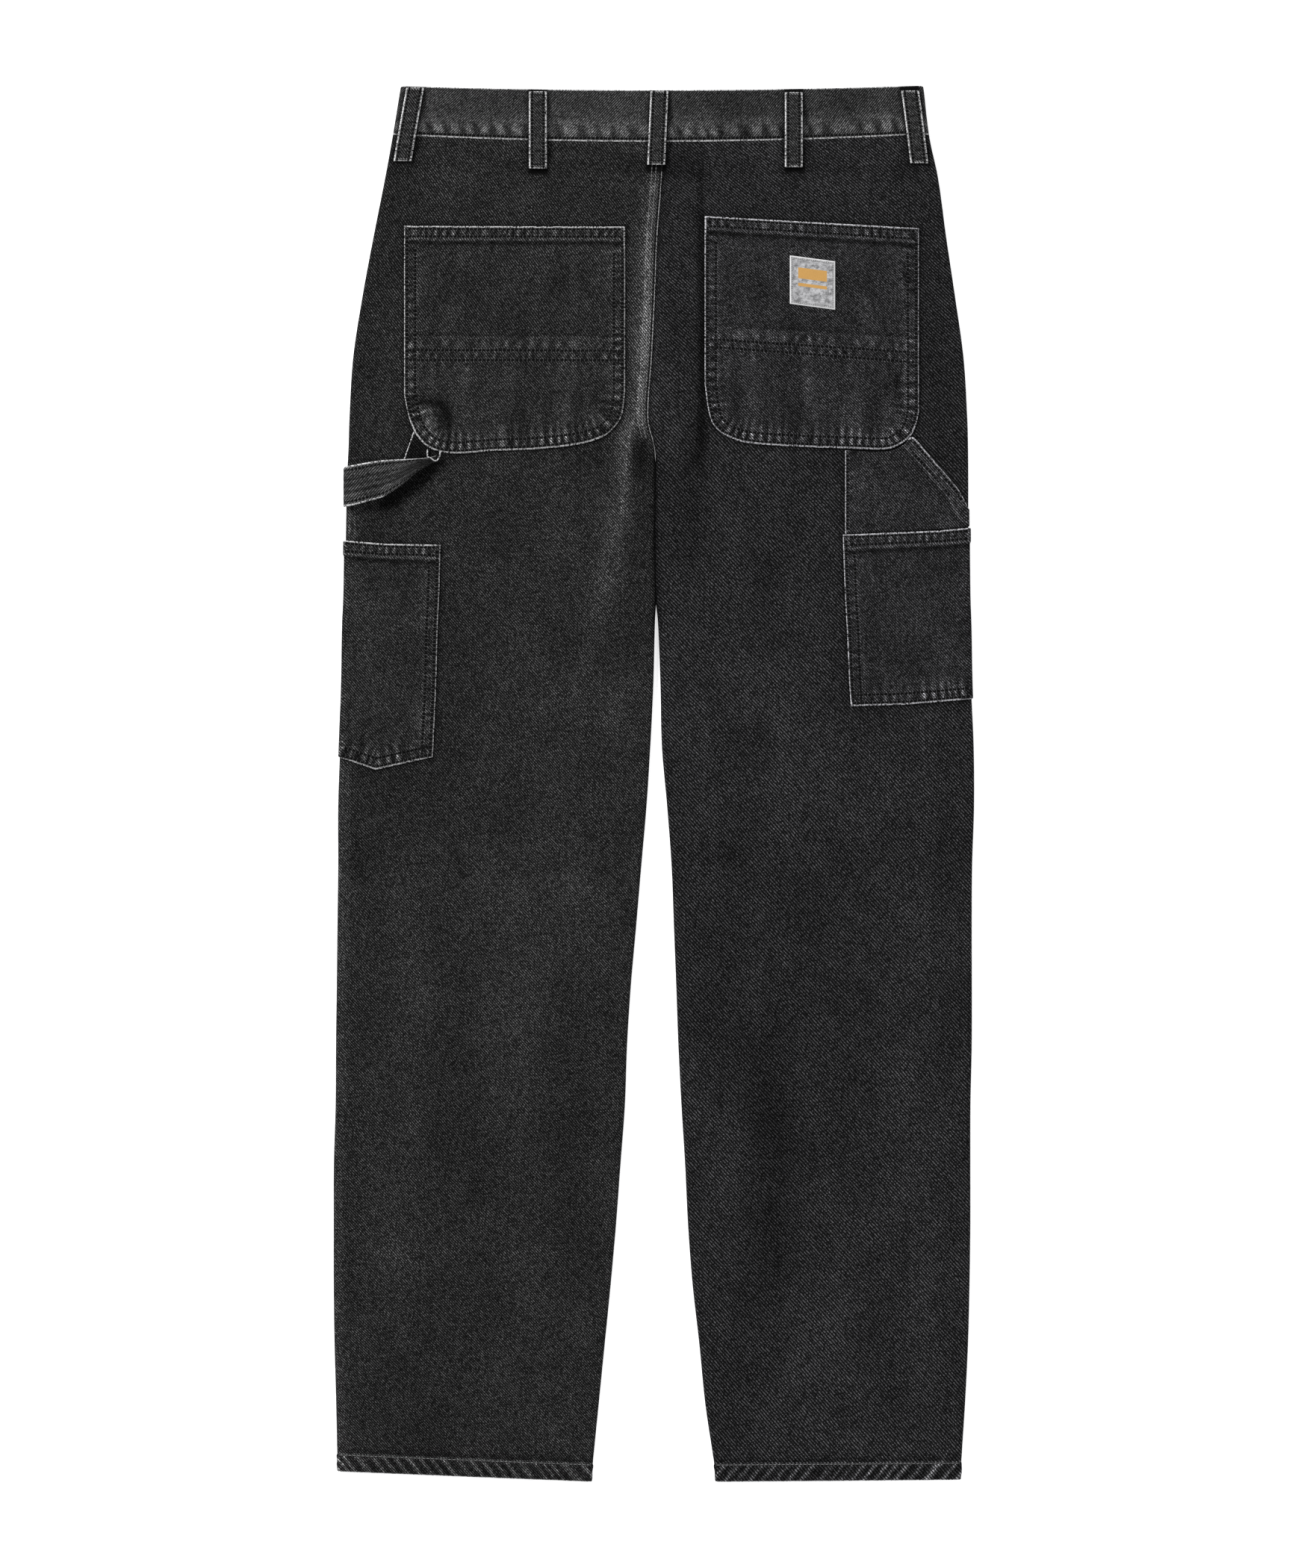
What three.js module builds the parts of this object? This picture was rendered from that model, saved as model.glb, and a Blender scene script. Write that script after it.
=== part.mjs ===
import * as THREE from 'three';

// Carpenter pants, lying flat on their front with the back facing up.
// Millimetres, +X to the right as seen from above, +Y towards the waist, +Z up.
// The origin is on the resting plane, under the middle of the whole outline.
// Seen from above, the left leg is also the wearer's left leg.

// Driving sizes
const garmentLength = 1092.8;
const wall = 1.3;
const seamGap = 0.3;
const backFace = 5.0;
const seamHeight = 2.5;
const rollWidth = 3.2;
const rollLength = 4.5;
const crown = 0.8;
const bandHeight = 38.6;
const bandWall = 2.6;
const bandProud = 0.7;
const bandRollWidth = 3.6;
const hemHeight = 13.6;
const hemProud = 0.6;
const stepRun = 0.5;
const rowSpacing = 29;

// Outline of both legs. down is measured along the garment from the waist edge,
// and the four edges are measured across it from the middle of the outline.
const outline = [
  { down: 0, leftOuter: -198.0, leftInner: 8.8, rightInner: 8.8, rightOuter: 210.9 },
  { down: 40, leftOuter: -204.5, leftInner: 7.6, rightInner: 7.6, rightOuter: 215.6 },
  { down: 72, leftOuter: -210.3, leftInner: 6.1, rightInner: 6.1, rightOuter: 222.4 },
  { down: 119, leftOuter: -219.7, leftInner: 2.8, rightInner: 2.8, rightOuter: 229.0 },
  { down: 166, leftOuter: -228.4, leftInner: 0.9, rightInner: 0.9, rightOuter: 236.0 },
  { down: 213, leftOuter: -235.5, leftInner: -1.5, rightInner: -1.5, rightOuter: 242.5 },
  { down: 260, leftOuter: -238.4, leftInner: -4.2, rightInner: -4.2, rightOuter: 245.4 },
  { down: 283, leftOuter: -239.1, leftInner: 0.6, rightInner: 0.6, rightOuter: 246.0 },
  { down: 310, leftOuter: -240.4, leftInner: 1.2, rightInner: 1.2, rightOuter: 246.2 },
  { down: 353, leftOuter: -241.2, leftInner: 0.9, rightInner: 0.9, rightOuter: 246.2 },
  { down: 400, leftOuter: -242.0, leftInner: 1.4, rightInner: 1.8, rightOuter: 246.7 },
  { down: 424, leftOuter: -243.0, leftInner: 0.9, rightInner: 3.3, rightOuter: 247.5 },
  { down: 470, leftOuter: -243.8, leftInner: -0.3, rightInner: 5.0, rightOuter: 248.4 },
  { down: 517, leftOuter: -245.6, leftInner: -2.6, rightInner: 6.1, rightOuter: 250.4 },
  { down: 564, leftOuter: -247.2, leftInner: -5.6, rightInner: 10.2, rightOuter: 250.7 },
  { down: 611, leftOuter: -247.2, leftInner: -9.7, rightInner: 13.7, rightOuter: 249.2 },
  { down: 658, leftOuter: -247.8, leftInner: -13.7, rightInner: 15.5, rightOuter: 248.9 },
  { down: 704, leftOuter: -248.3, leftInner: -17.8, rightInner: 17.3, rightOuter: 249.0 },
  { down: 751, leftOuter: -248.9, leftInner: -20.8, rightInner: 19.0, rightOuter: 248.9 },
  { down: 798, leftOuter: -249.2, leftInner: -22.5, rightInner: 21.4, rightOuter: 247.9 },
  { down: 845, leftOuter: -250.6, leftInner: -26.0, rightInner: 24.3, rightOuter: 247.8 },
  { down: 892, leftOuter: -250.7, leftInner: -29.5, rightInner: 26.6, rightOuter: 247.8 },
  { down: 938, leftOuter: -250.7, leftInner: -33.6, rightInner: 30.1, rightOuter: 247.2 },
  { down: 985, leftOuter: -250.1, leftInner: -38.3, rightInner: 35.4, rightOuter: 246.0 },
  { down: 1032, leftOuter: -248.9, leftInner: -43.0, rightInner: 40.1, rightOuter: 243.7 },
  { down: 1079, leftOuter: -247.9, leftInner: -47.7, rightInner: 47.1, rightOuter: 240.7 },
  { down: 1093, leftOuter: -247.4, leftInner: -49.0, rightInner: 48.6, rightOuter: 239.9 },
];

// The two legs. inward is the direction from the outseam towards the other leg,
// and hemSlant is how much higher the hem lies at the outseam than at the inseam.
const left = { name: 'left', outer: 'leftOuter', inner: 'leftInner', inward: 1, hemSlant: 8.2 };
const right = { name: 'right', outer: 'rightOuter', inner: 'rightInner', inward: -1, hemSlant: 1.6 };

// Places along the garment
const crotchDown = 291;
const crotchRun = 22;
const hemSlantRun = 170;
const waistDip = { atEdge: 3.4, atSeam: 5.6, endDown: 130, halfWidth: 205 };
const waistLift = { height: 3.0, fullDown: 66, endDown: 125 };
const felledSeam = { width: 10.4, proud: 0.8, endDown: 279, fadeRun: 16 };

// Largest soft folds of the back cloth: middle of each fold, its direction, half sizes and height
const folds = [
  { x: -18, down: 250, angle: 84, halfLength: 70, halfWidth: 9, height: 0.9 },
  { x: -26, down: 352, angle: 80, halfLength: 90, halfWidth: 11, height: 0.7 },
  { x: -12, down: 345, angle: 88, halfLength: 60, halfWidth: 7, height: -0.7 },
  { x: 24, down: 330, angle: 97, halfLength: 70, halfWidth: 10, height: 0.5 },
  { x: 60, down: 395, angle: 60, halfLength: 60, halfWidth: 12, height: -0.4 },
  { x: -150, down: 640, angle: 8, halfLength: 70, halfWidth: 14, height: 0.5 },
  { x: -120, down: 700, angle: -6, halfLength: 60, halfWidth: 12, height: -0.5 },
  { x: 140, down: 660, angle: -8, halfLength: 75, halfWidth: 14, height: 0.5 },
  { x: 120, down: 725, angle: 6, halfLength: 60, halfWidth: 12, height: -0.4 },
  { x: -140, down: 930, angle: 82, halfLength: 120, halfWidth: 16, height: 0.4 },
  { x: 150, down: 920, angle: 96, halfLength: 120, halfWidth: 16, height: 0.4 },
];

// Back pockets: x of each column, with the top and bottom edges there
const backPocketLeft = [
  { x: -195.4, top: 109.4, bottom: 242.2 },
  { x: -191.6, top: 109.4, bottom: 259.7 },
  { x: -186.9, top: 109.4, bottom: 271.4 },
  { x: -179.9, top: 109.4, bottom: 280.2 },
  { x: -169.9, top: 109.4, bottom: 285.8 },
  { x: -154.1, top: 109.4, bottom: 287.8 },
  { x: -127.2, top: 109.4, bottom: 285.8 },
  { x: -91.6, top: 109.4, bottom: 284.3 },
  { x: -57.0, top: 109.4, bottom: 280.2 },
  { x: -39.5, top: 109.4, bottom: 274.4 },
  { x: -30.1, top: 109.4, bottom: 266.2 },
  { x: -24.9, top: 109.4, bottom: 257.4 },
  { x: -22.5, top: 109.4, bottom: 239.9 },
];
const backPocketRight = [
  { x: 39.8, top: 100.6, bottom: 233.4 },
  { x: 43.0, top: 100.9, bottom: 255.6 },
  { x: 47.7, top: 101.2, bottom: 266.8 },
  { x: 58.8, top: 101.8, bottom: 275.0 },
  { x: 74.0, top: 102.8, bottom: 279.6 },
  { x: 117.3, top: 105.6, bottom: 282.6 },
  { x: 150.0, top: 107.6, bottom: 283.7 },
  { x: 182.8, top: 109.7, bottom: 284.3 },
  { x: 193.3, top: 110.4, bottom: 280.2 },
  { x: 201.0, top: 110.9, bottom: 273.8 },
  { x: 205.0, top: 111.2, bottom: 265.6 },
  { x: 207.4, top: 111.4, bottom: 255.1 },
];

// Side pockets: share of the width from the outseam, with the top and bottom edges there
const utilityPocket = { widthTop: 75.6, widthBottom: 74.2 };
const utilityPocketEdges = [
  { share: 0, top: 355.7, bottom: 525.3 },
  { share: 0.4, top: 358.2, bottom: 535.3 },
  { share: 1, top: 359.2, bottom: 525.3 },
];
const toolPocket = { widthTop: 99.6, widthBottom: 96.2 };
const toolPocketEdges = [
  { share: 0, top: 345.7, bottom: 479.7 },
  { share: 0.25, top: 348.1, bottom: 482.0 },
  { share: 0.57, top: 349.4, bottom: 484.4 },
  { share: 1, top: 351.3, bottom: 485.6 },
];

// Upper tool pocket, with its slanted opening towards the outseam
const upperToolPocket = [
  { x: 149.6, top: 285.3, bottom: 350.7 },
  { x: 182.8, top: 286.0, bottom: 349.2 },
  { x: 195.1, top: 281.6, bottom: 348.6 },
  { x: 202.1, top: 275.8, bottom: 348.2 },
  { x: 219.1, top: 289.2, bottom: 347.3 },
  { x: 228.4, top: 300.7, bottom: 346.8 },
  { x: 236.1, top: 309.8, bottom: 346.3 },
  { x: 241.3, top: 317.9, bottom: 345.9 },
  { x: 244.8, top: 325.8, bottom: 345.3 },
  { x: 246.1, top: 332.4, bottom: 344.9 },
];

// Sizes that the pockets share
const pocket = { wall: 1.3, hem: 11.4, hemProud: 0.9 };

// Square label on the right back pocket: x of its two sides, and its corners along the garment
const label = { leftX: 106.4, rightX: 141.9, leftTop: 132.8, rightTop: 137.5, length: 37.9, wall: 0.9 };

// Hammer loop: a strap from under the left back pocket to the outseam, standing clear of the leg.
// height is that of its lower face, and near and far are its two edges along the garment.
const strapWall = 1.9;
const strap = [
  { x: -170.5, height: 5.9, near: 289.4, far: 294.4 },
  { x: -174.6, height: 7.6, near: 290.6, far: 296.0 },
  { x: -179.0, height: 9.7, near: 291.4, far: 298.6 },
  { x: -185.0, height: 11.4, near: 291.9, far: 302.6 },
  { x: -195.1, height: 12.4, near: 292.5, far: 311.2 },
  { x: -209.7, height: 12.6, near: 293.1, far: 321.2 },
  { x: -222.9, height: 12.2, near: 294.8, far: 325.3 },
  { x: -231.8, height: 10.9, near: 296.4, far: 327.8 },
  { x: -237.6, height: 8.8, near: 297.4, far: 329.0 },
  { x: -240.5, height: 6.0, near: 298.2, far: 329.4 },
  { x: -241.3, height: 2.6, near: 299.0, far: 329.6 },
];

// Belt loops on the back, and the two on the front that the garment rests on.
// seat is how far the cloth under a loop's lower end stands above the plain panel.
const loop = { width: 14, wall: 2.0 };
const backLoops = [
  { name: 'belt_loop_back_left', xTop: -186.6, xBottom: -196.6, top: 1.6, bottom: 59.1, seat: 0 },
  { name: 'belt_loop_back_mid_left', xTop: -90.7, xBottom: -90.7, top: 4.7, bottom: 64.9, seat: 0 },
  { name: 'belt_loop_back_centre', xTop: 4.4, xBottom: 1.8, top: 4.1, bottom: 62.0, seat: felledSeam.proud },
  { name: 'belt_loop_back_mid_right', xTop: 109.4, xBottom: 109.4, top: 5.3, bottom: 63.8, seat: 0 },
  { name: 'belt_loop_back_right', xTop: 200.4, xBottom: 207.6, top: 4.1, bottom: 60.8, seat: 0 },
];
const frontLoops = [
  { name: 'belt_loop_front_left', x: -104, top: 3.0, bottom: 62.0 },
  { name: 'belt_loop_front_right', x: 116, top: 3.0, bottom: 62.0 },
];

// Arch of a back belt loop: height of its lower face above the waistband's face,
// and whether it lies on the seat there
const loopArch = [
  { share: 0, clear: 0.3, seated: 0 },
  { share: 0.07, clear: 0.3, seated: 0 },
  { share: 0.16, clear: 1.6, seated: 0 },
  { share: 0.3, clear: 2.5, seated: 0 },
  { share: 0.5, clear: 2.7, seated: 0 },
  { share: 0.7, clear: 2.2, seated: 0 },
  { share: 0.82, clear: 1.0, seated: 0 },
  { share: 0.92, clear: -0.4, seated: 1 },
  { share: 1, clear: -0.4, seated: 1 },
];

// Waist button at the centre front
const button = { radius: 8.5, height: 2.0, rim: 0.5, x: -6, down: 22 };

// Colours
const denimColour = 0x2e2e30;
const denimLight = 0x3a3a3c;
const labelColour = 0xb9b9bb;
const metalColour = 0x6d655c;

// Small helpers
const mix = (a, b, share) => a + (b - a) * share;
const clamp = (value) => Math.min(1, Math.max(0, value));
const smooth = (value) => clamp(value) ** 2 * (3 - 2 * clamp(value));
const evenly = (count) => Array.from({ length: count + 1 }, (_, i) => i / count);

// Reads one column of a table at a place between its rows, with no corner at a row
function readTable(table, key, column, at) {
  let i = 0;
  while (i < table.length - 2 && table[i + 1][key] < at) {
    i += 1;
  }
  const slope = (j) => {
    const before = table[Math.max(0, j - 1)];
    const after = table[Math.min(table.length - 1, j + 1)];
    return (after[column] - before[column]) / (after[key] - before[key]);
  };
  const run = table[i + 1][key] - table[i][key];
  const t = clamp((at - table[i][key]) / run);
  const startShare = 2 * t ** 3 - 3 * t ** 2 + 1;
  const startSlope = (t ** 3 - 2 * t ** 2 + t) * run * slope(i);
  const endSlope = (t ** 3 - t ** 2) * run * slope(i + 1);
  return startShare * table[i][column] + (1 - startShare) * table[i + 1][column] + startSlope + endSlope;
}

// Reads one column of a table in straight lines between its rows
function readStraight(table, key, column, at) {
  let i = 0;
  while (i < table.length - 2 && table[i + 1][key] < at) {
    i += 1;
  }
  const share = clamp((at - table[i][key]) / (table[i + 1][key] - table[i][key]));
  return mix(table[i][column], table[i + 1][column], share);
}

// The waist edge and its seam dip in the middle of the garment
function dipAt(x, down) {
  const bow = clamp(1 - (x / waistDip.halfWidth) ** 2);
  const depth = down < bandHeight
    ? mix(waistDip.atEdge, waistDip.atSeam, down / bandHeight)
    : waistDip.atSeam * (1 - smooth((down - bandHeight) / (waistDip.endDown - bandHeight)));
  return bow * depth;
}

// The waist lies a little higher, on the front loops and the button
function liftAt(down) {
  const run = waistLift.endDown - waistLift.fullDown;
  return waistLift.height * (1 - smooth((down - waistLift.fullDown) / run));
}

// Height that the soft folds add to the back cloth
function foldAt(x, down) {
  return folds.reduce((sum, fold) => {
    const turn = THREE.MathUtils.degToRad(fold.angle);
    const along = (x - fold.x) * Math.cos(turn) + (down - fold.down) * Math.sin(turn);
    const beside = (down - fold.down) * Math.cos(turn) - (x - fold.x) * Math.sin(turn);
    const spread = (along / fold.halfLength) ** 2 + (beside / fold.halfWidth) ** 2;
    return sum + fold.height * Math.exp(-spread);
  }, 0);
}

// Edges of one leg's panel, half a seam gap short of the middle seam
function edgesAt(leg, down) {
  const outer = readTable(outline, 'down', leg.outer, down);
  const inner = readTable(outline, 'down', leg.inner, down) - leg.inward * seamGap / 2;
  return { outer, inner, flat: Math.abs(inner - outer) - 2 * rollWidth };
}

// Length of a panel's section from the outseam to its inner edge
function girthAt(leg, down) {
  return edgesAt(leg, down).flat + 2 * rollLength;
}

// Share of the inner roll: none above the crotch, whole below it
const innerRollAt = (down) => smooth((down - crotchDown + crotchRun) / crotchRun);

// A point of a panel's outer face. across runs along the cloth from the outseam.
function facePoint(leg, layer, down, across) {
  const { outer, inner, flat } = edgesAt(leg, down);
  const face = layer === 'back' ? backFace : 0;
  const seam = seamHeight + (layer === 'back' ? seamGap / 2 : -seamGap / 2);
  const girth = flat + 2 * rollLength;
  let x = outer + leg.inward * (rollWidth + across - rollLength);
  let z = face;
  if (across < rollLength) {
    const turn = (across / rollLength) * (Math.PI / 2);
    x = outer + leg.inward * rollWidth * (1 - Math.cos(turn));
    z = mix(seam, face, Math.sin(turn));
  } else if (across > rollLength + flat) {
    const run = (across - rollLength - flat) / rollLength;
    const turn = run * (Math.PI / 2);
    x = inner - leg.inward * rollWidth * (1 - mix(run, Math.sin(turn), innerRollAt(down)));
    z = mix(face, mix(seam, face, Math.cos(turn)), innerRollAt(down));
  }
  if (layer === 'back') {
    const share = clamp(across / girth);
    const fade = smooth(across / 26) * smooth((girth - across) / 14);
    const bow = crown * (1 - (2 * share - 1) ** 2) * smooth((down - 60) / 100);
    z += bow * smooth(across / 12) * mix(1, smooth((girth - across) / 12), innerRollAt(down));
    z += foldAt(x, down) * fade;
  }
  const nearHem = smooth((down - garmentLength + hemSlantRun) / hemSlantRun);
  const slant = leg.hemSlant * (1 - across / girth) * nearHem;
  const y = garmentLength / 2 - down - dipAt(x, down) + slant;
  return new THREE.Vector3(x, y, z + liftAt(down));
}

// Direction away from a surface given by a function of two values. facing is 1 or -1.
function normalAt(surface, u, v, uRange, vRange, facing) {
  const reach = 0.02;
  const u0 = Math.max(uRange[0], u - reach);
  const u1 = Math.min(uRange[1], u + reach);
  const v0 = Math.max(vRange[0], v - reach);
  const v1 = Math.min(vRange[1], v + reach);
  const alongU = surface(u1, v).sub(surface(u0, v));
  const alongV = surface(u, v1).sub(surface(u, v0));
  return alongU.cross(alongV).normalize().multiplyScalar(facing);
}

// A point of a panel's face, moved out by a distance
function offPanel(leg, layer, down, across, distance) {
  const surface = (u, v) => facePoint(leg, layer, u, v);
  const facing = (layer === 'back' ? 1 : -1) * leg.inward;
  const normal = normalAt(surface, down, across, [0, garmentLength], [0, girthAt(leg, down)], facing);
  return surface(down, across).addScaledVector(normal, distance);
}

// Distance along the cloth from the outseam to a place given by its x
function acrossAt(leg, down, x) {
  const beside = Math.abs(x - edgesAt(leg, down).outer);
  if (beside < rollWidth) {
    return Math.acos(1 - beside / rollWidth) / (Math.PI / 2) * rollLength;
  }
  return rollLength + beside - rollWidth;
}

// One closed solid between two grids of points that match, joined round their four borders
function solidBetween(name, colour, roughness, outerRows, innerRows) {
  const rows = outerRows.length;
  const columns = outerRows[0].length;
  const points = [...outerRows.flat(), ...innerRows.flat()];
  const outerIndex = (i, j) => i * columns + j;
  const innerIndex = (i, j) => rows * columns + i * columns + j;
  const triangles = [];
  const quad = (a, b, c, d) => triangles.push(a, b, c, a, c, d);
  for (let i = 0; i < rows - 1; i += 1) {
    for (let j = 0; j < columns - 1; j += 1) {
      quad(outerIndex(i, j), outerIndex(i + 1, j), outerIndex(i + 1, j + 1), outerIndex(i, j + 1));
      quad(innerIndex(i, j), innerIndex(i, j + 1), innerIndex(i + 1, j + 1), innerIndex(i + 1, j));
    }
  }
  for (let i = 0; i < rows - 1; i += 1) {
    quad(outerIndex(i, 0), innerIndex(i, 0), innerIndex(i + 1, 0), outerIndex(i + 1, 0));
    const last = columns - 1;
    quad(outerIndex(i + 1, last), innerIndex(i + 1, last), innerIndex(i, last), outerIndex(i, last));
  }
  for (let j = 0; j < columns - 1; j += 1) {
    quad(outerIndex(0, j + 1), innerIndex(0, j + 1), innerIndex(0, j), outerIndex(0, j));
    const last = rows - 1;
    quad(outerIndex(last, j), innerIndex(last, j), innerIndex(last, j + 1), outerIndex(last, j + 1));
  }
  const corner = (k) => points[triangles[k]];
  let volume = 0;
  for (let k = 0; k < triangles.length; k += 3) {
    volume += corner(k).dot(new THREE.Vector3().crossVectors(corner(k + 1), corner(k + 2)));
  }
  if (volume < 0) {
    triangles.reverse();
  }
  const geometry = new THREE.BufferGeometry().setFromPoints(points);
  geometry.setIndex(triangles);
  geometry.computeVertexNormals();
  const material = new THREE.MeshStandardMaterial({ color: colour, roughness, metalness: 0 });
  const mesh = new THREE.Mesh(geometry, material);
  mesh.name = name;
  return mesh;
}

// A cloth piece that lies on a panel: rows of places on it, with the height of both faces above it
function clothOnPanel(name, colour, leg, layer, places, low, high) {
  const place = (height) => places.map((row) => row.map((at) => (
    offPanel(leg, layer, at.down, at.across, height(at)))));
  return solidBetween(name, colour, 0.95, place(high), place(low));
}

// Rows along a panel, close together at the crotch and where the hem steps
function panelRows() {
  const start = bandHeight + seamGap;
  const hemTop = garmentLength - hemHeight;
  const crotchTop = crotchDown - crotchRun;
  const stretch = (from, to) => {
    const count = Math.round((to - from) / rowSpacing);
    return evenly(count).map((share) => mix(from, to, share));
  };
  const seat = stretch(start, crotchTop);
  const leg = stretch(crotchDown, hemTop - stepRun);
  return [...seat, mix(crotchTop, crotchDown, 0.5), ...leg, hemTop, garmentLength];
}

// Places on a panel from the outseam to its inner edge, finer round both rolls
function panelPlaces(leg, rows, flatColumns, rollColumns) {
  return rows.map((down) => {
    const girth = girthAt(leg, down);
    const roll = evenly(rollColumns).map((share) => share * rollLength);
    const stripStart = girth - felledSeam.width;
    const flat = evenly(flatColumns).slice(1).map((share) => mix(rollLength, stripStart - stepRun, share));
    const strip = [stripStart, ...roll.map((run) => girth - rollLength + run)];
    return [...roll, ...flat, ...strip].map((across) => ({ down, across, fromInner: girth - across }));
  });
}

// Back and front panels of one leg
function panel(leg, layer, flatColumns, rollColumns) {
  const hasFell = leg.name === 'left' && layer === 'back';
  const hemAt = (down) => (down >= garmentLength - hemHeight ? hemProud : 0);
  const high = ({ down, fromInner }) => {
    const fell = hasFell && fromInner <= felledSeam.width + stepRun / 2;
    const fade = 1 - smooth((down - felledSeam.endDown) / felledSeam.fadeRun + 1);
    const hem = layer === 'back' ? hemAt(down) : 0;
    return (fell ? felledSeam.proud * fade : 0) + hem;
  };
  const foldedShare = ({ across, fromInner }) => (
    smooth((Math.min(across, fromInner) - rollWidth) / rollLength));
  const low = (at) => -wall - hemAt(at.down) * foldedShare(at);
  const places = panelPlaces(leg, panelRows(), flatColumns, rollColumns);
  return clothOnPanel(`${layer}_panel_${leg.name}`, denimColour, leg, layer, places, low, high);
}

// A pocket given by its columns, with a turned hem along its top edge
function pocketPlaces(leg, columns, bodyShares, hem) {
  const rowAt = (column, row) => {
    if (row === 0) {
      return column.top;
    }
    if (row === 1) {
      return column.top + hem;
    }
    return mix(column.top + hem + stepRun, column.bottom, bodyShares[row - 2]);
  };
  const rowCount = bodyShares.length + 2;
  return Array.from({ length: rowCount }, (_, row) => columns.map((column) => {
    const down = rowAt(column, row);
    const across = column.acrossAt ? column.acrossAt(down) : acrossAt(leg, down, column.x);
    return { down, across, inHem: row < 2 };
  }));
}

const bodyShares = [0, 0.25, 0.5, 0.72, 0.88, 1];
const pocketLow = () => seamGap;
const pocketHigh = ({ inHem }) => seamGap + pocket.wall + (inHem ? pocket.hemProud : 0);

function backPocket(name, leg, columns) {
  const places = pocketPlaces(leg, columns, bodyShares, pocket.hem);
  return clothOnPanel(name, denimLight, leg, 'back', places, pocketLow, pocketHigh);
}

// A pocket that starts at the outseam and goes round the leg's side
function sidePocket(name, leg, sizes, edges) {
  const firstAcross = 0.2;
  const shares = [0, 0.02, 0.04, 0.06, 0.14, 0.25, 0.4, 0.57, 0.78, 1];
  const columns = shares.map((share) => {
    const top = readStraight(edges, 'share', 'top', share);
    const bottom = readStraight(edges, 'share', 'bottom', share);
    const widthAt = (down) => mix(sizes.widthTop, sizes.widthBottom, clamp((down - top) / (bottom - top)));
    return { top, bottom, acrossAt: (down) => mix(firstAcross, widthAt(down), share) };
  });
  const places = pocketPlaces(leg, columns, [0, 0.33, 0.66, 1], pocket.hem);
  return clothOnPanel(name, denimLight, leg, 'back', places, pocketLow, pocketHigh);
}

// The upper tool pocket has no hem: its slanted edge is only turned under
function slantedPocket(name, leg, columns) {
  const places = evenly(4).map((share) => columns.map((column) => {
    const down = mix(column.top, column.bottom, share);
    return { down, across: acrossAt(leg, down, column.x) };
  }));
  return clothOnPanel(name, denimLight, leg, 'back', places, pocketLow, pocketHigh);
}

// The label lies on the right back pocket
function labelPiece() {
  const under = 2 * seamGap + pocket.wall;
  const places = evenly(4).map((row) => evenly(4).map((column) => {
    const x = mix(label.leftX, label.rightX, column);
    const down = mix(label.leftTop, label.rightTop, column) + row * label.length;
    return { down, across: acrossAt(right, down, x) };
  }));
  return clothOnPanel('label', labelColour, right, 'back', places, () => under, () => under + label.wall);
}

// The waistband is one strip round the waist, from edge to edge at the centre front
function waistband() {
  const frontFace = waistLift.height - bandProud;
  const topFace = waistLift.height + backFace + bandProud;
  const middle = (frontFace + topFace) / 2;
  const rise = (topFace - frontFace) / 2;
  const stretches = [
    { name: 'front left', steps: 5 },
    { name: 'left fold', steps: 8 },
    { name: 'back', steps: 12 },
    { name: 'right fold', steps: 8 },
    { name: 'front right', steps: 5 },
  ];
  const bandPoint = (down, along) => {
    const stretch = Math.min(stretches.length - 1, Math.floor(along));
    const share = along - stretch;
    const leftEdge = readTable(outline, 'down', 'leftOuter', down);
    const rightEdge = readTable(outline, 'down', 'rightOuter', down);
    const centre = readTable(outline, 'down', 'leftInner', down);
    const foldLeft = leftEdge + bandRollWidth;
    const foldRight = rightEdge - bandRollWidth;
    const turn = Math.PI * share;
    const places = [
      [mix(centre - seamGap / 2, foldLeft, share), frontFace],
      [foldLeft - bandRollWidth * Math.sin(turn), middle - rise * Math.cos(turn)],
      [mix(foldLeft, foldRight, share), topFace],
      [foldRight + bandRollWidth * Math.sin(turn), middle + rise * Math.cos(turn)],
      [mix(foldRight, centre + seamGap / 2, share), frontFace],
    ];
    const [x, z] = places[stretch];
    return new THREE.Vector3(x, garmentLength / 2 - down - dipAt(x, down), z);
  };
  const last = stretches.length - 1e-6;
  const stations = stretches.flatMap((stretch, i) => evenly(stretch.steps).slice(i === 0 ? 0 : 1)
    .map((share) => Math.min(i + share, last)));
  const rows = evenly(3).map((share) => share * bandHeight);
  const wallAt = (down, along) => {
    const normal = normalAt(bandPoint, down, along, [0, bandHeight], [0, last], 1);
    return bandPoint(down, along).addScaledVector(normal, -bandWall);
  };
  const outerRows = rows.map((down) => stations.map((along) => bandPoint(down, along)));
  const innerRows = rows.map((down) => stations.map((along) => wallAt(down, along)));
  return solidBetween('waistband', denimLight, 0.95, outerRows, innerRows);
}

// A back belt loop arches over the waistband from its top edge to below its seam
function backLoop(spec) {
  const bandTop = waistLift.height + backFace + bandProud;
  const rowsAt = (extra) => loopArch.map(({ share, clear, seated }) => [-1, 0, 1].map((side) => {
    const x = mix(spec.xTop, spec.xBottom, share) + side * loop.width / 2;
    const y = garmentLength / 2 - mix(spec.top, spec.bottom, share);
    return new THREE.Vector3(x, y, bandTop + clear + seated * spec.seat + extra);
  }));
  return solidBetween(spec.name, denimLight, 0.95, rowsAt(loop.wall), rowsAt(0));
}

// A front belt loop lies flat under the waistband, on the resting plane
function frontLoop(spec) {
  const rowsAt = (z) => evenly(2).map((share) => [-1, 0, 1].map((side) => {
    const x = spec.x + side * loop.width / 2;
    const y = garmentLength / 2 - mix(spec.top, spec.bottom, share);
    return new THREE.Vector3(x, y, z);
  }));
  return solidBetween(spec.name, denimLight, 0.95, rowsAt(loop.wall), rowsAt(0));
}

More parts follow.
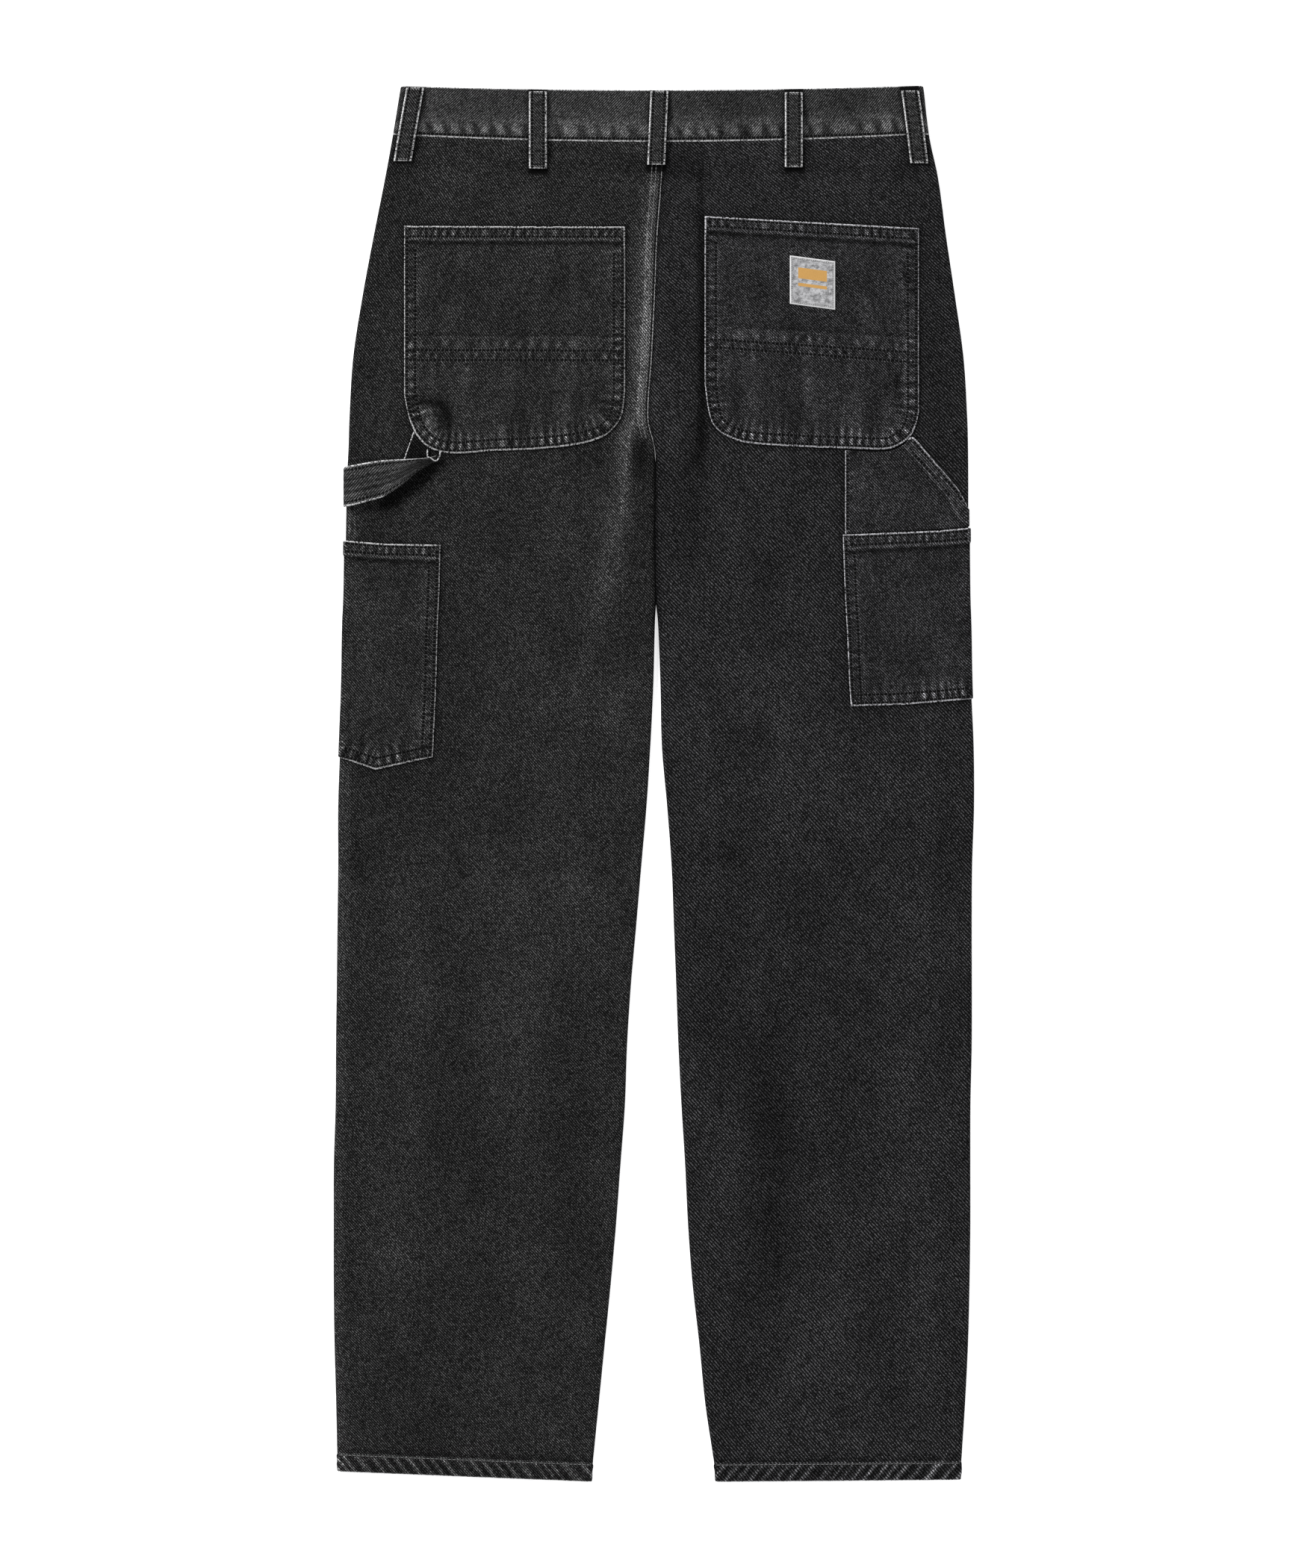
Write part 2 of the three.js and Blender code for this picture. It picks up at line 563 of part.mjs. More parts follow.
// The hammer loop's strap
function hammerLoop() {
  const columns = evenly(3);
  const rowAt = (station, height, shift) => columns.map((share) => (
    new THREE.Vector3(station.x + shift, garmentLength / 2 - mix(station.near, station.far, share), height)));
  const lower = strap.map((station) => rowAt(station, station.height, 0));
  const upper = strap.map((station, i) => {
    const before = strap[Math.max(0, i - 1)];
    const after = strap[Math.min(strap.length - 1, i + 1)];
    const run = Math.hypot(after.x - before.x, after.height - before.height);
    const shift = strapWall * (after.height - before.height) / run;
    const rise = strapWall * (before.x - after.x) / run;
    return rowAt(station, station.height + rise, shift);
  });
  return solidBetween('hammer_loop', denimLight, 0.95, upper, lower);
}

// The button's face lies on the resting plane, and its post side faces the waistband
function waistButton() {
  const profile = [
    [0, 0],
    [button.radius - button.rim, 0],
    [button.radius, button.rim],
    [button.radius, button.height - button.rim],
    [button.radius - button.rim, button.height],
    [0, button.height],
  ].map(([radius, height]) => new THREE.Vector2(radius, height));
  const geometry = new THREE.LatheGeometry(profile, 20);
  const material = new THREE.MeshStandardMaterial({ color: metalColour, roughness: 0.4, metalness: 0.9 });
  const mesh = new THREE.Mesh(geometry, material);
  mesh.name = 'waist_button';
  mesh.rotation.x = Math.PI / 2;
  mesh.position.set(button.x, garmentLength / 2 - button.down, 0);
  return mesh;
}

// The whole garment
const group = new THREE.Group();
group.add(panel(left, 'front', 3, 4));
group.add(panel(right, 'front', 3, 4));
group.add(panel(left, 'back', 9, 4));
group.add(panel(right, 'back', 9, 4));
group.add(waistband());
backLoops.forEach((spec) => group.add(backLoop(spec)));
frontLoops.forEach((spec) => group.add(frontLoop(spec)));
group.add(waistButton());
group.add(backPocket('back_pocket_left', left, backPocketLeft));
group.add(backPocket('back_pocket_right', right, backPocketRight));
group.add(labelPiece());
group.add(hammerLoop());
group.add(sidePocket('utility_pocket', left, utilityPocket, utilityPocketEdges));
group.add(slantedPocket('tool_pocket_upper', right, upperToolPocket));
group.add(sidePocket('tool_pocket_lower', right, toolPocket, toolPocketEdges));

// The middle of the outline lies over the origin
const outlineBox = new THREE.Box3().setFromObject(group, true);
const outlineMiddle = outlineBox.getCenter(new THREE.Vector3());
group.position.set(-outlineMiddle.x, -outlineMiddle.y, 0);

export default group;
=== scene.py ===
# %% [markdown]
# # Carpenter pants of washed black denim
# The trousers lie flat on their front, so the picture looks straight down on the back.
# The CAD model gives every piece its place. Here each piece of cloth is made again as a
# fine sheet on the form of its solid, with puckers, stitches and a woven surface.

# %% Load the frame
import math
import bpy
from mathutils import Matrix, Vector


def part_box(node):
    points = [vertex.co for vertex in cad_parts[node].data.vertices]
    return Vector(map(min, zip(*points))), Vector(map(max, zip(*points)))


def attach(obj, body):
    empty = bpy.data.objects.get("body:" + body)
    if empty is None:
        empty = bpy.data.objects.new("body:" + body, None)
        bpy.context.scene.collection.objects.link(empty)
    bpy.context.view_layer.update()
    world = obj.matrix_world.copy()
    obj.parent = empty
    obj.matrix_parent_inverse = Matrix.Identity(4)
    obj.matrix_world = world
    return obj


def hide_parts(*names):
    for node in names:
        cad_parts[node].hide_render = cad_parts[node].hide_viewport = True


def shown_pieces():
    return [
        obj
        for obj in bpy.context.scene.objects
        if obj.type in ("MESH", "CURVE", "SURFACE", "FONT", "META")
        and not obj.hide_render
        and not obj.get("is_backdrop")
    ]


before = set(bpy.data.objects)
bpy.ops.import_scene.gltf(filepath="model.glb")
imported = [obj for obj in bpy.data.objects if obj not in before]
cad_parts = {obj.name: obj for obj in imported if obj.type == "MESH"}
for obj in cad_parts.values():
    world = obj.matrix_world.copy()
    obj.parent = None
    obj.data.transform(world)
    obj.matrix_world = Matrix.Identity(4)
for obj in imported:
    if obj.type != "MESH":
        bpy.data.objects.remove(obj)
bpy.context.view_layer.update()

from types import SimpleNamespace

import bpy
import numpy as np
from mathutils import Vector
from mathutils.geometry import delaunay_2d_cdt

MM = 0.001

# %% [markdown]
# ## Camera, floor and light
# The trousers were laid on a table under a camera far above them. A long lens at six
# metres keeps the picture almost free of perspective, as the photo is. A wide soft lamp
# at the upper left gives the small shadows beside the pockets and under the strap, and
# a pale world fills them.

# %% Camera
picture_height = 1.2285
camera_height = 6.0
camera_data = bpy.data.cameras.new("camera_above")
camera_data.sensor_width = 36
camera_data.lens = camera_data.sensor_width * camera_height / picture_height
camera = bpy.data.objects.new("camera_above", camera_data)
camera.location = (-0.0003, 0, camera_height)
bpy.context.scene.collection.objects.link(camera)
bpy.context.scene.camera = camera
bpy.context.scene.view_settings.view_transform = "Standard"
print("lens in mm:", round(camera_data.lens, 1))


# %% Floor and lamps
def add_lamp(name, place, size, watts):
    """A square soft lamp that looks at the middle of the trousers."""
    data = bpy.data.lights.new(name, "AREA")
    data.size = size
    data.energy = watts
    lamp = bpy.data.objects.new(name, data)
    lamp.location = place
    lamp.rotation_euler = (-Vector(place)).to_track_quat("-Z", "Y").to_euler()
    bpy.context.scene.collection.objects.link(lamp)
    return lamp


add_lamp("key_lamp", (-4.2, 3.9, 3.7), 1.6, 470)
add_lamp("fill_lamp", (3.9, -2.0, 5.2), 3.0, 110)

world = bpy.data.worlds.new("pale_room")
world.use_nodes = True
world.node_tree.nodes["Background"].inputs["Color"].default_value = (0.985, 0.985, 1.0, 1)
world.node_tree.nodes["Background"].inputs["Strength"].default_value = 0.62
bpy.context.scene.world = world

floor_size = 40.0
floor_gap = 0.0002
floor_mesh = bpy.data.meshes.new("floor")
half = floor_size / 2
floor_corners = [(-half, -half, 0), (half, -half, 0), (half, half, 0), (-half, half, 0)]
floor_mesh.from_pydata(floor_corners, [], [(0, 1, 2, 3)])
floor = bpy.data.objects.new("floor", floor_mesh)
floor.location.z = -floor_gap
bpy.context.scene.collection.objects.link(floor)
floor_paint = bpy.data.materials.new("pale_floor")
floor_paint.use_nodes = True
floor_inputs = floor_paint.node_tree.nodes["Principled BSDF"].inputs
floor_inputs["Base Color"].default_value = (0.93, 0.93, 0.93, 1)
floor_inputs["Roughness"].default_value = 0.9
floor_inputs["Emission Color"].default_value = (1, 1, 1, 1)
floor_inputs["Emission Strength"].default_value = 0.48
floor.data.materials.append(floor_paint)
floor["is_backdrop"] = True
print("lamps and floor are in place")

# %% [markdown]
# ## Reading the garment's sizes
# A pattern maker writes the outline as widths at a few heights. The table below does the
# same, in millimetres: down is measured from the waist edge and the four edges from the
# middle. Smooth curves run through the rows, so no row shows as a corner.


# %% Numbers that are read from tables
def smooth(value):
    """Runs softly from 0 to 1 as value does."""
    value = np.clip(value, 0, 1)
    return value * value * (3 - 2 * value)


def mix(a, b, share):
    return a + (b - a) * share


def read_table(keys, values, at):
    """A smooth curve through the rows of a table, read at many places at once."""
    keys, values = np.asarray(keys, float), np.asarray(values, float)
    at = np.asarray(at, float)
    count = len(keys)
    i = np.clip(np.searchsorted(keys, at, side="left") - 1, 0, count - 2)
    before = np.clip(np.arange(count) - 1, 0, None)
    after = np.clip(np.arange(count) + 1, None, count - 1)
    slopes = (values[after] - values[before]) / (keys[after] - keys[before])
    run = keys[i + 1] - keys[i]
    t = np.clip((at - keys[i]) / run, 0, 1)
    start_share = 2 * t**3 - 3 * t**2 + 1
    bend = (t**3 - 2 * t**2 + t) * run * slopes[i] + (t**3 - t**2) * run * slopes[i + 1]
    return start_share * values[i] + (1 - start_share) * values[i + 1] + bend


# %% Outline of both legs
outline = np.array([
    # down, left outer, left inner, right inner, right outer
    (0, -198.0, 8.8, 8.8, 210.9), (40, -204.5, 7.6, 7.6, 215.6), (72, -210.3, 6.1, 6.1, 222.4),
    (119, -219.7, 2.8, 2.8, 229.0), (166, -228.4, 0.9, 0.9, 236.0), (213, -235.5, -1.5, -1.5, 242.5),
    (260, -238.4, -4.2, -4.2, 245.4), (283, -239.1, 0.6, 0.6, 246.0), (310, -240.4, 1.2, 1.2, 246.2),
    (353, -241.2, 0.9, 0.9, 246.2), (400, -242.0, 1.6, 1.6, 246.7), (424, -243.0, 0.9, 3.3, 247.5),
    (470, -243.8, -0.3, 5.0, 248.4), (517, -245.6, -2.6, 6.1, 250.4), (564, -247.2, -5.6, 10.2, 250.7),
    (611, -247.2, -9.7, 13.7, 249.2), (658, -247.8, -13.7, 15.5, 248.9), (704, -248.3, -17.8, 17.3, 249.0),
    (751, -248.9, -20.8, 19.0, 248.9), (798, -249.2, -22.5, 21.4, 247.9), (845, -250.6, -26.0, 24.3, 247.8),
    (892, -250.7, -29.5, 26.6, 247.8), (938, -250.7, -33.6, 30.1, 247.2), (985, -250.1, -38.3, 35.4, 246.0),
    (1032, -248.9, -43.0, 40.1, 243.7), (1079, -247.9, -47.7, 47.1, 240.7),
    (1093, -247.4, -49.0, 48.6, 239.9),
])
down_rows, left_outer, left_inner, right_inner, right_outer = outline.T
left = SimpleNamespace(name="left", outer=left_outer, inner=left_inner, inward=1, hem_slant=8.2)
right = SimpleNamespace(name="right", outer=right_outer, inner=right_inner, inward=-1, hem_slant=1.6)

# %% Sizes of the cloth and its seams
garment_length = 1092.8
wall = 1.3
seam_gap = 0.3
back_face = 5.0
seam_height = 2.5
roll_width = 3.2
roll_length = 4.5
crown = 0.8
band_height = 38.6
band_wall = 2.6
band_proud = 0.7
band_roll_width = 3.6
hem_height = 13.6
hem_proud = 0.6
crotch_down = 291
crotch_run = 22
legs_part = 403
hem_slant_run = 170
fell_width = 10.4
fell_proud = 0.8
fell_end = 279
fell_fade = 16
seam_rows_end = 276
stitch_pitch = 3.2
hem_stitch_pitch = 3.4
band_front, band_back = 3.0 - band_proud, 3.0 + back_face + band_proud

button_low, button_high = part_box("waist_button")
button_x, button_down = -6, 22
shift_x = (button_low.x + button_high.x) / 2 / MM - button_x
shift_y = (button_low.y + button_high.y) / 2 / MM - (garment_length / 2 - button_down)
print("the outline's middle is moved by", round(shift_x, 3), round(shift_y, 3), "mm")


# %% [markdown]
# ## The face of a leg
# Each leg is a flattened tube: a back panel lies on a front panel and both roll down to
# the seams at their sides. A point of the cloth is named by two lengths that a tailor
# would use, down from the waist and across from the outseam, and the functions below turn
# them into a place in space. Everything sewn on a leg uses the same functions, so it lies
# on the cloth however the cloth bends.


# %% Places on a leg
def edges_at(leg, down):
    outer = read_table(down_rows, leg.outer, down)
    legs_touch = smooth((down - crotch_down) / 10) * (1 - smooth((down - legs_part) / 14))
    gap = seam_gap / 2 * (1 - 2.6 * legs_touch)
    inner = read_table(down_rows, leg.inner, down) - leg.inward * gap
    return outer, inner, np.abs(inner - outer) - 2 * roll_width


def girth_at(leg, down):
    return edges_at(leg, down)[2] + 2 * roll_length


def dip_at(x, down):
    """The waist edge and its seam dip in the middle of the garment."""
    half_waist, edge_dip, seam_dip, dip_end = 205, 3.4, 5.6, 130
    bow = np.clip(1 - (x / half_waist) ** 2, 0, 1)
    in_band = mix(edge_dip, seam_dip, down / band_height)
    below = seam_dip * (1 - smooth((down - band_height) / (dip_end - band_height)))
    return bow * np.where(down < band_height, in_band, below)


def lift_at(down):
    """The waist lies a little higher, on the front loops and the button."""
    return 3.0 * (1 - smooth((down - 66) / 59))


def inner_roll_at(down):
    return smooth((down - crotch_down + crotch_run) / crotch_run)


folds = [
    # x, down, angle, half length, half width, height
    (-18, 250, 84, 70, 9, 0.9), (-26, 352, 80, 90, 11, 0.7), (-12, 345, 88, 60, 7, -0.7),
    (24, 330, 97, 70, 10, 0.5), (60, 395, 60, 60, 12, -0.4), (-150, 640, 8, 70, 14, 0.5),
    (-120, 700, -6, 60, 12, -0.5), (140, 660, -8, 75, 14, 0.5), (120, 725, 6, 60, 12, -0.4),
    (-140, 930, 82, 120, 16, 0.4), (150, 920, 96, 120, 16, 0.4),
]


def fold_sum(table, x, down):
    """Soft long hills or troughs, each given by its middle, direction, half sizes and height."""
    total = np.zeros(np.broadcast(x, down).shape)
    for fold_x, fold_down, angle, half_length, half_width, height in table:
        turn = math.radians(angle)
        along = (x - fold_x) * math.cos(turn) + (down - fold_down) * math.sin(turn)
        beside = (down - fold_down) * math.cos(turn) - (x - fold_x) * math.sin(turn)
        total = total + height * np.exp(-((along / half_length) ** 2) - (beside / half_width) ** 2)
    return total


def face_point(leg, layer, down, across):
    """A point of a panel's outer face, in millimetres."""
    outer, inner, flat = edges_at(leg, down)
    girth = flat + 2 * roll_length
    face = back_face if layer == "back" else 0.0
    seam = seam_height + (seam_gap / 2 if layer == "back" else -seam_gap / 2)
    inner_roll = inner_roll_at(down)
    outer_turn = np.clip(across / roll_length, 0, 1) * math.pi / 2
    run = (across - roll_length - flat) / roll_length
    inner_turn = np.clip(run, 0, 1) * math.pi / 2
    x_flat = outer + leg.inward * (roll_width + across - roll_length)
    x_outer = outer + leg.inward * roll_width * (1 - np.cos(outer_turn))
    x_inner = inner - leg.inward * roll_width * (1 - mix(run, np.sin(inner_turn), inner_roll))
    z_outer = mix(seam, face, np.sin(outer_turn))
    z_inner = mix(face, mix(seam, face, np.cos(inner_turn)), inner_roll)
    on_outer, on_inner = across < roll_length, run > 0
    x = np.where(on_outer, x_outer, np.where(on_inner, x_inner, x_flat))
    z = np.where(on_outer, z_outer, np.where(on_inner, z_inner, face))
    if layer == "back":
        share = np.clip(across / girth, 0, 1)
        fade = smooth(across / 26) * smooth((girth - across) / 14)
        bow = crown * (1 - (2 * share - 1) ** 2) * smooth((down - 60) / 100)
        z = z + bow * smooth(across / 12) * mix(1, smooth((girth - across) / 12), inner_roll)
        z = z + fold_sum(folds, x, down) * fade
    near_hem = smooth((down - garment_length + hem_slant_run) / hem_slant_run)
    slant = leg.hem_slant * (1 - across / girth) * near_hem
    y = garment_length / 2 - down - dip_at(x, down) + slant
    return np.stack([x + shift_x, y + shift_y, z + lift_at(down)], -1)


def on_panel(leg, layer, down, across, height):
    """Places at a height above a panel's face, and the direction away from it there."""
    down, across = np.broadcast_arrays(np.asarray(down, float), np.asarray(across, float))
    reach = 0.05
    along = face_point(leg, layer, down + reach, across) - face_point(leg, layer, down - reach, across)
    beside = face_point(leg, layer, down, across + reach) - face_point(leg, layer, down, across - reach)
    facing = leg.inward * (1 if layer == "back" else -1)
    normal = np.cross(along, beside) * facing
    normal /= np.linalg.norm(normal, axis=-1, keepdims=True)
    return face_point(leg, layer, down, across) + normal * np.asarray(height)[..., None], normal


def across_at(leg, down, x):
    """Distance along the cloth from the outseam to a place given by its x."""
    beside = np.abs(x - edges_at(leg, down)[0])
    in_roll = np.arccos(np.clip(1 - beside / roll_width, -1, 1)) / (math.pi / 2) * roll_length
    return np.where(beside < roll_width, in_roll, roll_length + beside - roll_width)


print("left leg girth at the knee in mm:", round(float(girth_at(left, 611.0)), 1))

# %% [markdown]
# ## Uneven cloth
# Washed denim is never quite even. It lies in low waves, and beside each seam the thread
# draws it into small puckers. The waves are soft random hills from a seeded table, and the
# puckers are a wave along the seam whose spacing and depth wander, because an even wave
# looks machined.

# %% Soft hills and puckers
rng = np.random.default_rng(11)
lattice = rng.uniform(-1, 1, (61, 61, 16))


def hills(u, v, cell, layer):
    """Smooth random heights from -1 to 1, about one cell across."""
    p, q = np.asarray(u, float) / cell, np.asarray(v, float) / cell
    i, j = np.floor(p).astype(int), np.floor(q).astype(int)
    s, t = smooth(p - i), smooth(q - j)
    low = mix(lattice[i % 61, j % 61, layer], lattice[(i + 1) % 61, j % 61, layer], s)
    high = mix(lattice[i % 61, (j + 1) % 61, layer], lattice[(i + 1) % 61, (j + 1) % 61, layer], s)
    return mix(low, high, t)


def puckers(along, pitch, layer):
    """A wave from about -1 to 1 along a seam, uneven in spacing and depth."""
    wander = 0.55 * hills(along, 0.0, pitch * 1.9, layer)
    depth = 0.62 + 0.38 * hills(along, 31.0, pitch * 1.4, layer)
    return np.cos(2 * math.pi * (along / pitch + wander)) * depth


def pinches(along, pitch, layer):
    """Like puckers, but with narrow pale crests between wider dark hollows."""
    wave = puckers(along, pitch, layer)
    return 1.25 * np.clip(wave, 0, 1) ** 1.3 - 0.75 * np.clip(-wave, 0, 1)


def stripes(along, pitch, layer):
    """Narrow pale stripes with broad dark blocks between them."""
    wave = puckers(along, pitch, layer)
    return 1.7 * np.clip(wave, 0, 1) ** 2.2 - 0.75 * smooth((0.3 - wave) / 0.5)


def plateau(distance, width):
    return np.exp(-((distance / width) ** 4))


def ridge(distance, width):
    return np.exp(-((distance / width) ** 2))


creases = [
    # x, down, angle, half length, half width, height
    (-20, 300, 82, 60, 5, 0.45), (-9, 232, 86, 50, 4, 0.30), (-38, 300, 72, 45, 6, -0.30),
    (14, 268, 100, 34, 5, 0.28), (34, 286, 118, 30, 5, -0.25), (-60, 330, 40, 34, 7, 0.20),
    (-205, 372, 12, 34, 6, 0.22), (-214, 352, 20, 28, 5, -0.22), (30, 470, 84, 60, 8, 0.30),
    (-28, 480, 94, 70, 8, 0.25), (-96, 520, 20, 60, 9, 0.18), (96, 540, -24, 60, 9, 0.18),
    (-60, 612, 4, 54, 8, -0.24), (-180, 598, -10, 40, 8, 0.22), (64, 604, -6, 48, 8, -0.22),
    (190, 622, 8, 44, 8, 0.22), (-90, 655, 12, 50, 7, 0.18), (90, 690, -10, 50, 7, 0.18),
    (-214, 700, 70, 80, 9, 0.22), (214, 720, 108, 80, 9, 0.22), (-100, 800, 86, 90, 12, 0.22),
    (60, 820, 95, 100, 12, 0.22), (-180, 980, 84, 90, 12, -0.22), (190, 990, 94, 90, 12, -0.22),
    (-100, 1010, 60, 50, 9, 0.18), (100, 1020, 118, 50, 9, 0.18),
]


def relief(leg, down, across):
    """Height of the back cloth's unevenness above its smooth solid."""
    u = across * leg.inward
    girth = girth_at(leg, down)
    from_inner = girth - across
    inner_roll = inner_roll_at(down)
    x = edges_at(leg, down)[0] + leg.inward * across
    waves = 0.26 * hills(u, down * 0.5, 46, 0) + 0.13 * hills(u, down * 0.7, 19, 1)
    waves = waves + 0.05 * hills(u, down, 7, 2) + fold_sum(creases, x, down)
    height = waves * smooth((across - 2) / 22) * mix(1, smooth((from_inner - 2) / 20), inner_roll)
    seat = 1 - smooth((down - 285) / 20)
    height = height + 0.30 * puckers(u + 400, 15, 3) * ridge(down - band_height - 2, 13) * smooth(across / 9)
    height = height + 0.10 * puckers(down, 11, 4) * ridge(from_inner - 15, 6) * seat
    height = height + 0.10 * puckers(down, 12, 5) * ridge(across - 7, 4) * smooth((down - 60) / 30)
    return height


rope_pitch, rope_skew = 9.6, 0.75


def hem_relief(leg, down, across):
    """The turned hem stands proud, and its two layers rope into slanted puckers."""
    u = across * leg.inward
    up = garment_length - down
    in_hem = smooth((hem_height + 0.6 - up) / 1.2)
    skewed = u + rope_skew * up * leg.inward
    rope = 0.34 * puckers(skewed, rope_pitch, 6) * np.sin(np.clip(up / hem_height, 0, 1) * math.pi) ** 0.6
    row = -0.22 * ridge(up - hem_height + 0.4, 0.8)
    echo = 0.14 * puckers(skewed, rope_pitch, 6) * ridge(up - hem_height - 4, 5)
    return (hem_proud + rope) * in_hem + row + echo * (1 - in_hem)


seam_inset, pale_seam_insets = 2.2, (6.2, 9.4)


def fell_relief(leg, down, across):
    """The felled centre seam: the left panel's edge is turned under and lies on the right one."""
    if leg is right:
        return -0.3 * smooth((across - girth_at(leg, down) + 0.4) / 1.2) * (1 - inner_roll_at(down))
    from_inner = girth_at(leg, down) - across
    fade = 1 - smooth((down - fell_end) / fell_fade + 1)
    step = smooth((fell_width + 0.7 - from_inner) / 1.1)
    edge = np.sqrt(np.clip(1 - np.clip(1 - from_inner / 0.9, 0, 1) ** 2, 0, 1))
    rows = sum(ridge(from_inner - at, 0.6) for at in (seam_inset, *pale_seam_insets))
    lift = fell_proud * step - 0.16 * rows + 0.12 * puckers(down, 7, 7) * step
    return lift * edge * fade


def back_height(leg, down, across):
    return relief(leg, down, across) + hem_relief(leg, down, across) + fell_relief(leg, down, across)


print("tallest crease in mm:", max(crease[-1] for crease in creases))

# %% [markdown]
# ## Washed black denim
# Denim is a twill: three warp yarns pass over each weft yarn and every row is shifted by
# one, which draws slanted lines. The black warp hides most of the pale weft, and washing
# wears its tops. An image of cloth would blur or repeat, so the weave is worked out at
# each point from the cloth's own lengths: which two yarns cross there, and which is on top.
# Folded edges wear pale first, so each piece also carries its distance to such an edge. Shade is also
# painted into the colour beside and under pieces that lie on the cloth and along stitch grooves, and some
# pieces paint shade and highlights into their wash level.


# %% Small node helpers
def new_material(name):
    material = bpy.data.materials.new(name)
    material.use_nodes = True
    return material, material.node_tree, material.node_tree.nodes["Principled BSDF"]


def plug(tree, value, socket):
    if isinstance(value, bpy.types.NodeSocket):
        tree.links.new(value, socket)
    else:
        socket.default_value = value


def calculate(tree, operation, *values, clamp=False):
    node = tree.nodes.new("ShaderNodeMath")
    node.operation = operation
    node.use_clamp = clamp
    for value, socket in zip(values, node.inputs):
        plug(tree, value, socket)
    return node.outputs[0]


def read_attribute(tree, name, output):
    node = tree.nodes.new("ShaderNodeAttribute")
    node.attribute_name = name
    return node.outputs[output]


def blend_colour(tree, factor, first, second):
    node = tree.nodes.new("ShaderNodeMix")
    node.data_type = "RGBA"
    plug(tree, factor, node.inputs["Factor"])
    plug(tree, first, node.inputs["A"])
    plug(tree, second, node.inputs["B"])
    return node.outputs["Result"]


def cloudy(tree, vector, stretch, detail=2.0):
    """Noise about its middle, from roughly -1 to 1, with lengths stretched per axis."""
    scaled = tree.nodes.new("ShaderNodeVectorMath")
    scaled.operation = "MULTIPLY"
    plug(tree, vector, scaled.inputs[0])
    scaled.inputs[1].default_value = stretch
    noise = tree.nodes.new("ShaderNodeTexNoise")
    noise.inputs["Scale"].default_value = 1.0
    noise.inputs["Detail"].default_value = detail
    tree.links.new(scaled.outputs[0], noise.inputs["Vector"])
    return calculate(tree, "MULTIPLY_ADD", noise.outputs["Fac"], 3.0, -1.5)


def grey(value, tint=(1, 1, 1)):
    return (value * tint[0], value * tint[1], value * tint[2], 1)


# %% Twill weave
def slice_of(tree, value, middle, half_width):
    """1 on the middle of a band and 0 at its two sides."""
    gap = calculate(tree, "ABSOLUTE", calculate(tree, "SUBTRACT", value, middle))
    return calculate(tree, "SUBTRACT", 1.0, calculate(tree, "DIVIDE", gap, half_width), clamp=True)


def yarn_round(tree, place):
    """The round top of a yarn, from 0 at its sides to 1 along its middle."""
    turn = calculate(tree, "MULTIPLY", calculate(tree, "FRACT", place), math.pi)
    return calculate(tree, "SINE", turn)


def twill(tree, weave, lean, yarn, rarity):
    """How much pale weft shows at each point, and how high the yarn on top stands."""
    weft_spacing, yarns_in_repeat = 1.08, 4
    split = tree.nodes.new("ShaderNodeSeparateXYZ")
    tree.links.new(weave, split.inputs[0])
    sway = cloudy(tree, weave, (0.05, 0.05, 0), 1)
    swayed = calculate(tree, "MULTIPLY_ADD", sway, 0.5, split.outputs["X"])
    warp_place = calculate(tree, "DIVIDE", swayed, yarn)
    weft_place = calculate(tree, "DIVIDE", split.outputs["Y"], yarn * weft_spacing)
    warp, weft = calculate(tree, "FLOOR", warp_place), calculate(tree, "FLOOR", weft_place)
    shifted = calculate(tree, "ADD", calculate(tree, "MULTIPLY_ADD", weft, -lean, warp), 0.5)
    in_repeat = calculate(tree, "FLOORED_MODULO", shifted, yarns_in_repeat)
    weft_on_top = calculate(tree, "LESS_THAN", in_repeat, 1)
    beside_it = calculate(tree, "SUBTRACT", calculate(tree, "LESS_THAN", in_repeat, 2), weft_on_top)
    rounds = calculate(tree, "MULTIPLY", yarn_round(tree, warp_place), yarn_round(tree, weft_place))
    yarn_top = calculate(tree, "SQRT", rounds)

    cell = tree.nodes.new("ShaderNodeCombineXYZ")
    tree.links.new(warp, cell.inputs[0])
    tree.links.new(weft, cell.inputs[1])
    chance = tree.nodes.new("ShaderNodeTexWhiteNoise")
    chance.noise_dimensions = "2D"
    tree.links.new(cell.outputs[0], chance.inputs["Vector"])
    lucky = calculate(tree, "POWER", chance.outputs["Value"], rarity)
    bright_weft = calculate(tree, "MULTIPLY_ADD", lucky, 1.6, 0.16)
    weft_light = calculate(tree, "MULTIPLY", weft_on_top, bright_weft)
    warp_light = calculate(tree, "MULTIPLY", beside_it, calculate(tree, "MULTIPLY", lucky, 0.5))
    light = calculate(tree, "ADD", weft_light, warp_light)
    return calculate(tree, "MULTIPLY", light, yarn_top, clamp=True), yarn_top


# %% Wash, wear and painted shade
# Near-black for the stitch dashes and for painted shade.
shade_black = 0.0012
wash_clouds = [
    # stretch, octaves, stops of light: streaks, grain, blots and large patches
    ((0.9, 0.05, 0), 3, 0.40), ((0.62, 0.42, 0), 3, 1.15),
    ((0.16, 0.11, 0), 2, 0.30), ((0.035, 0.02, 0), 3, 0.30)]


def washed_and_shaded(tree, weave, wear_and_shade, from_row):
    """How many times paler than new the cloth is, with the painted shade and highlights of each piece in the
    same level.
    """
    stops = calculate(tree, "MULTIPLY", wear_and_shade, 1.7)
    for stretch, detail, strength in wash_clouds:
        clouds = cloudy(tree, weave, stretch, detail)
        stops = calculate(tree, "MULTIPLY_ADD", clouds, strength, stops)
    shoulder = slice_of(tree, from_row, 1.3, 0.7)
    stops = calculate(tree, "MULTIPLY_ADD", shoulder, 0.45, stops)
    return calculate(tree, "POWER", 2.0, stops)


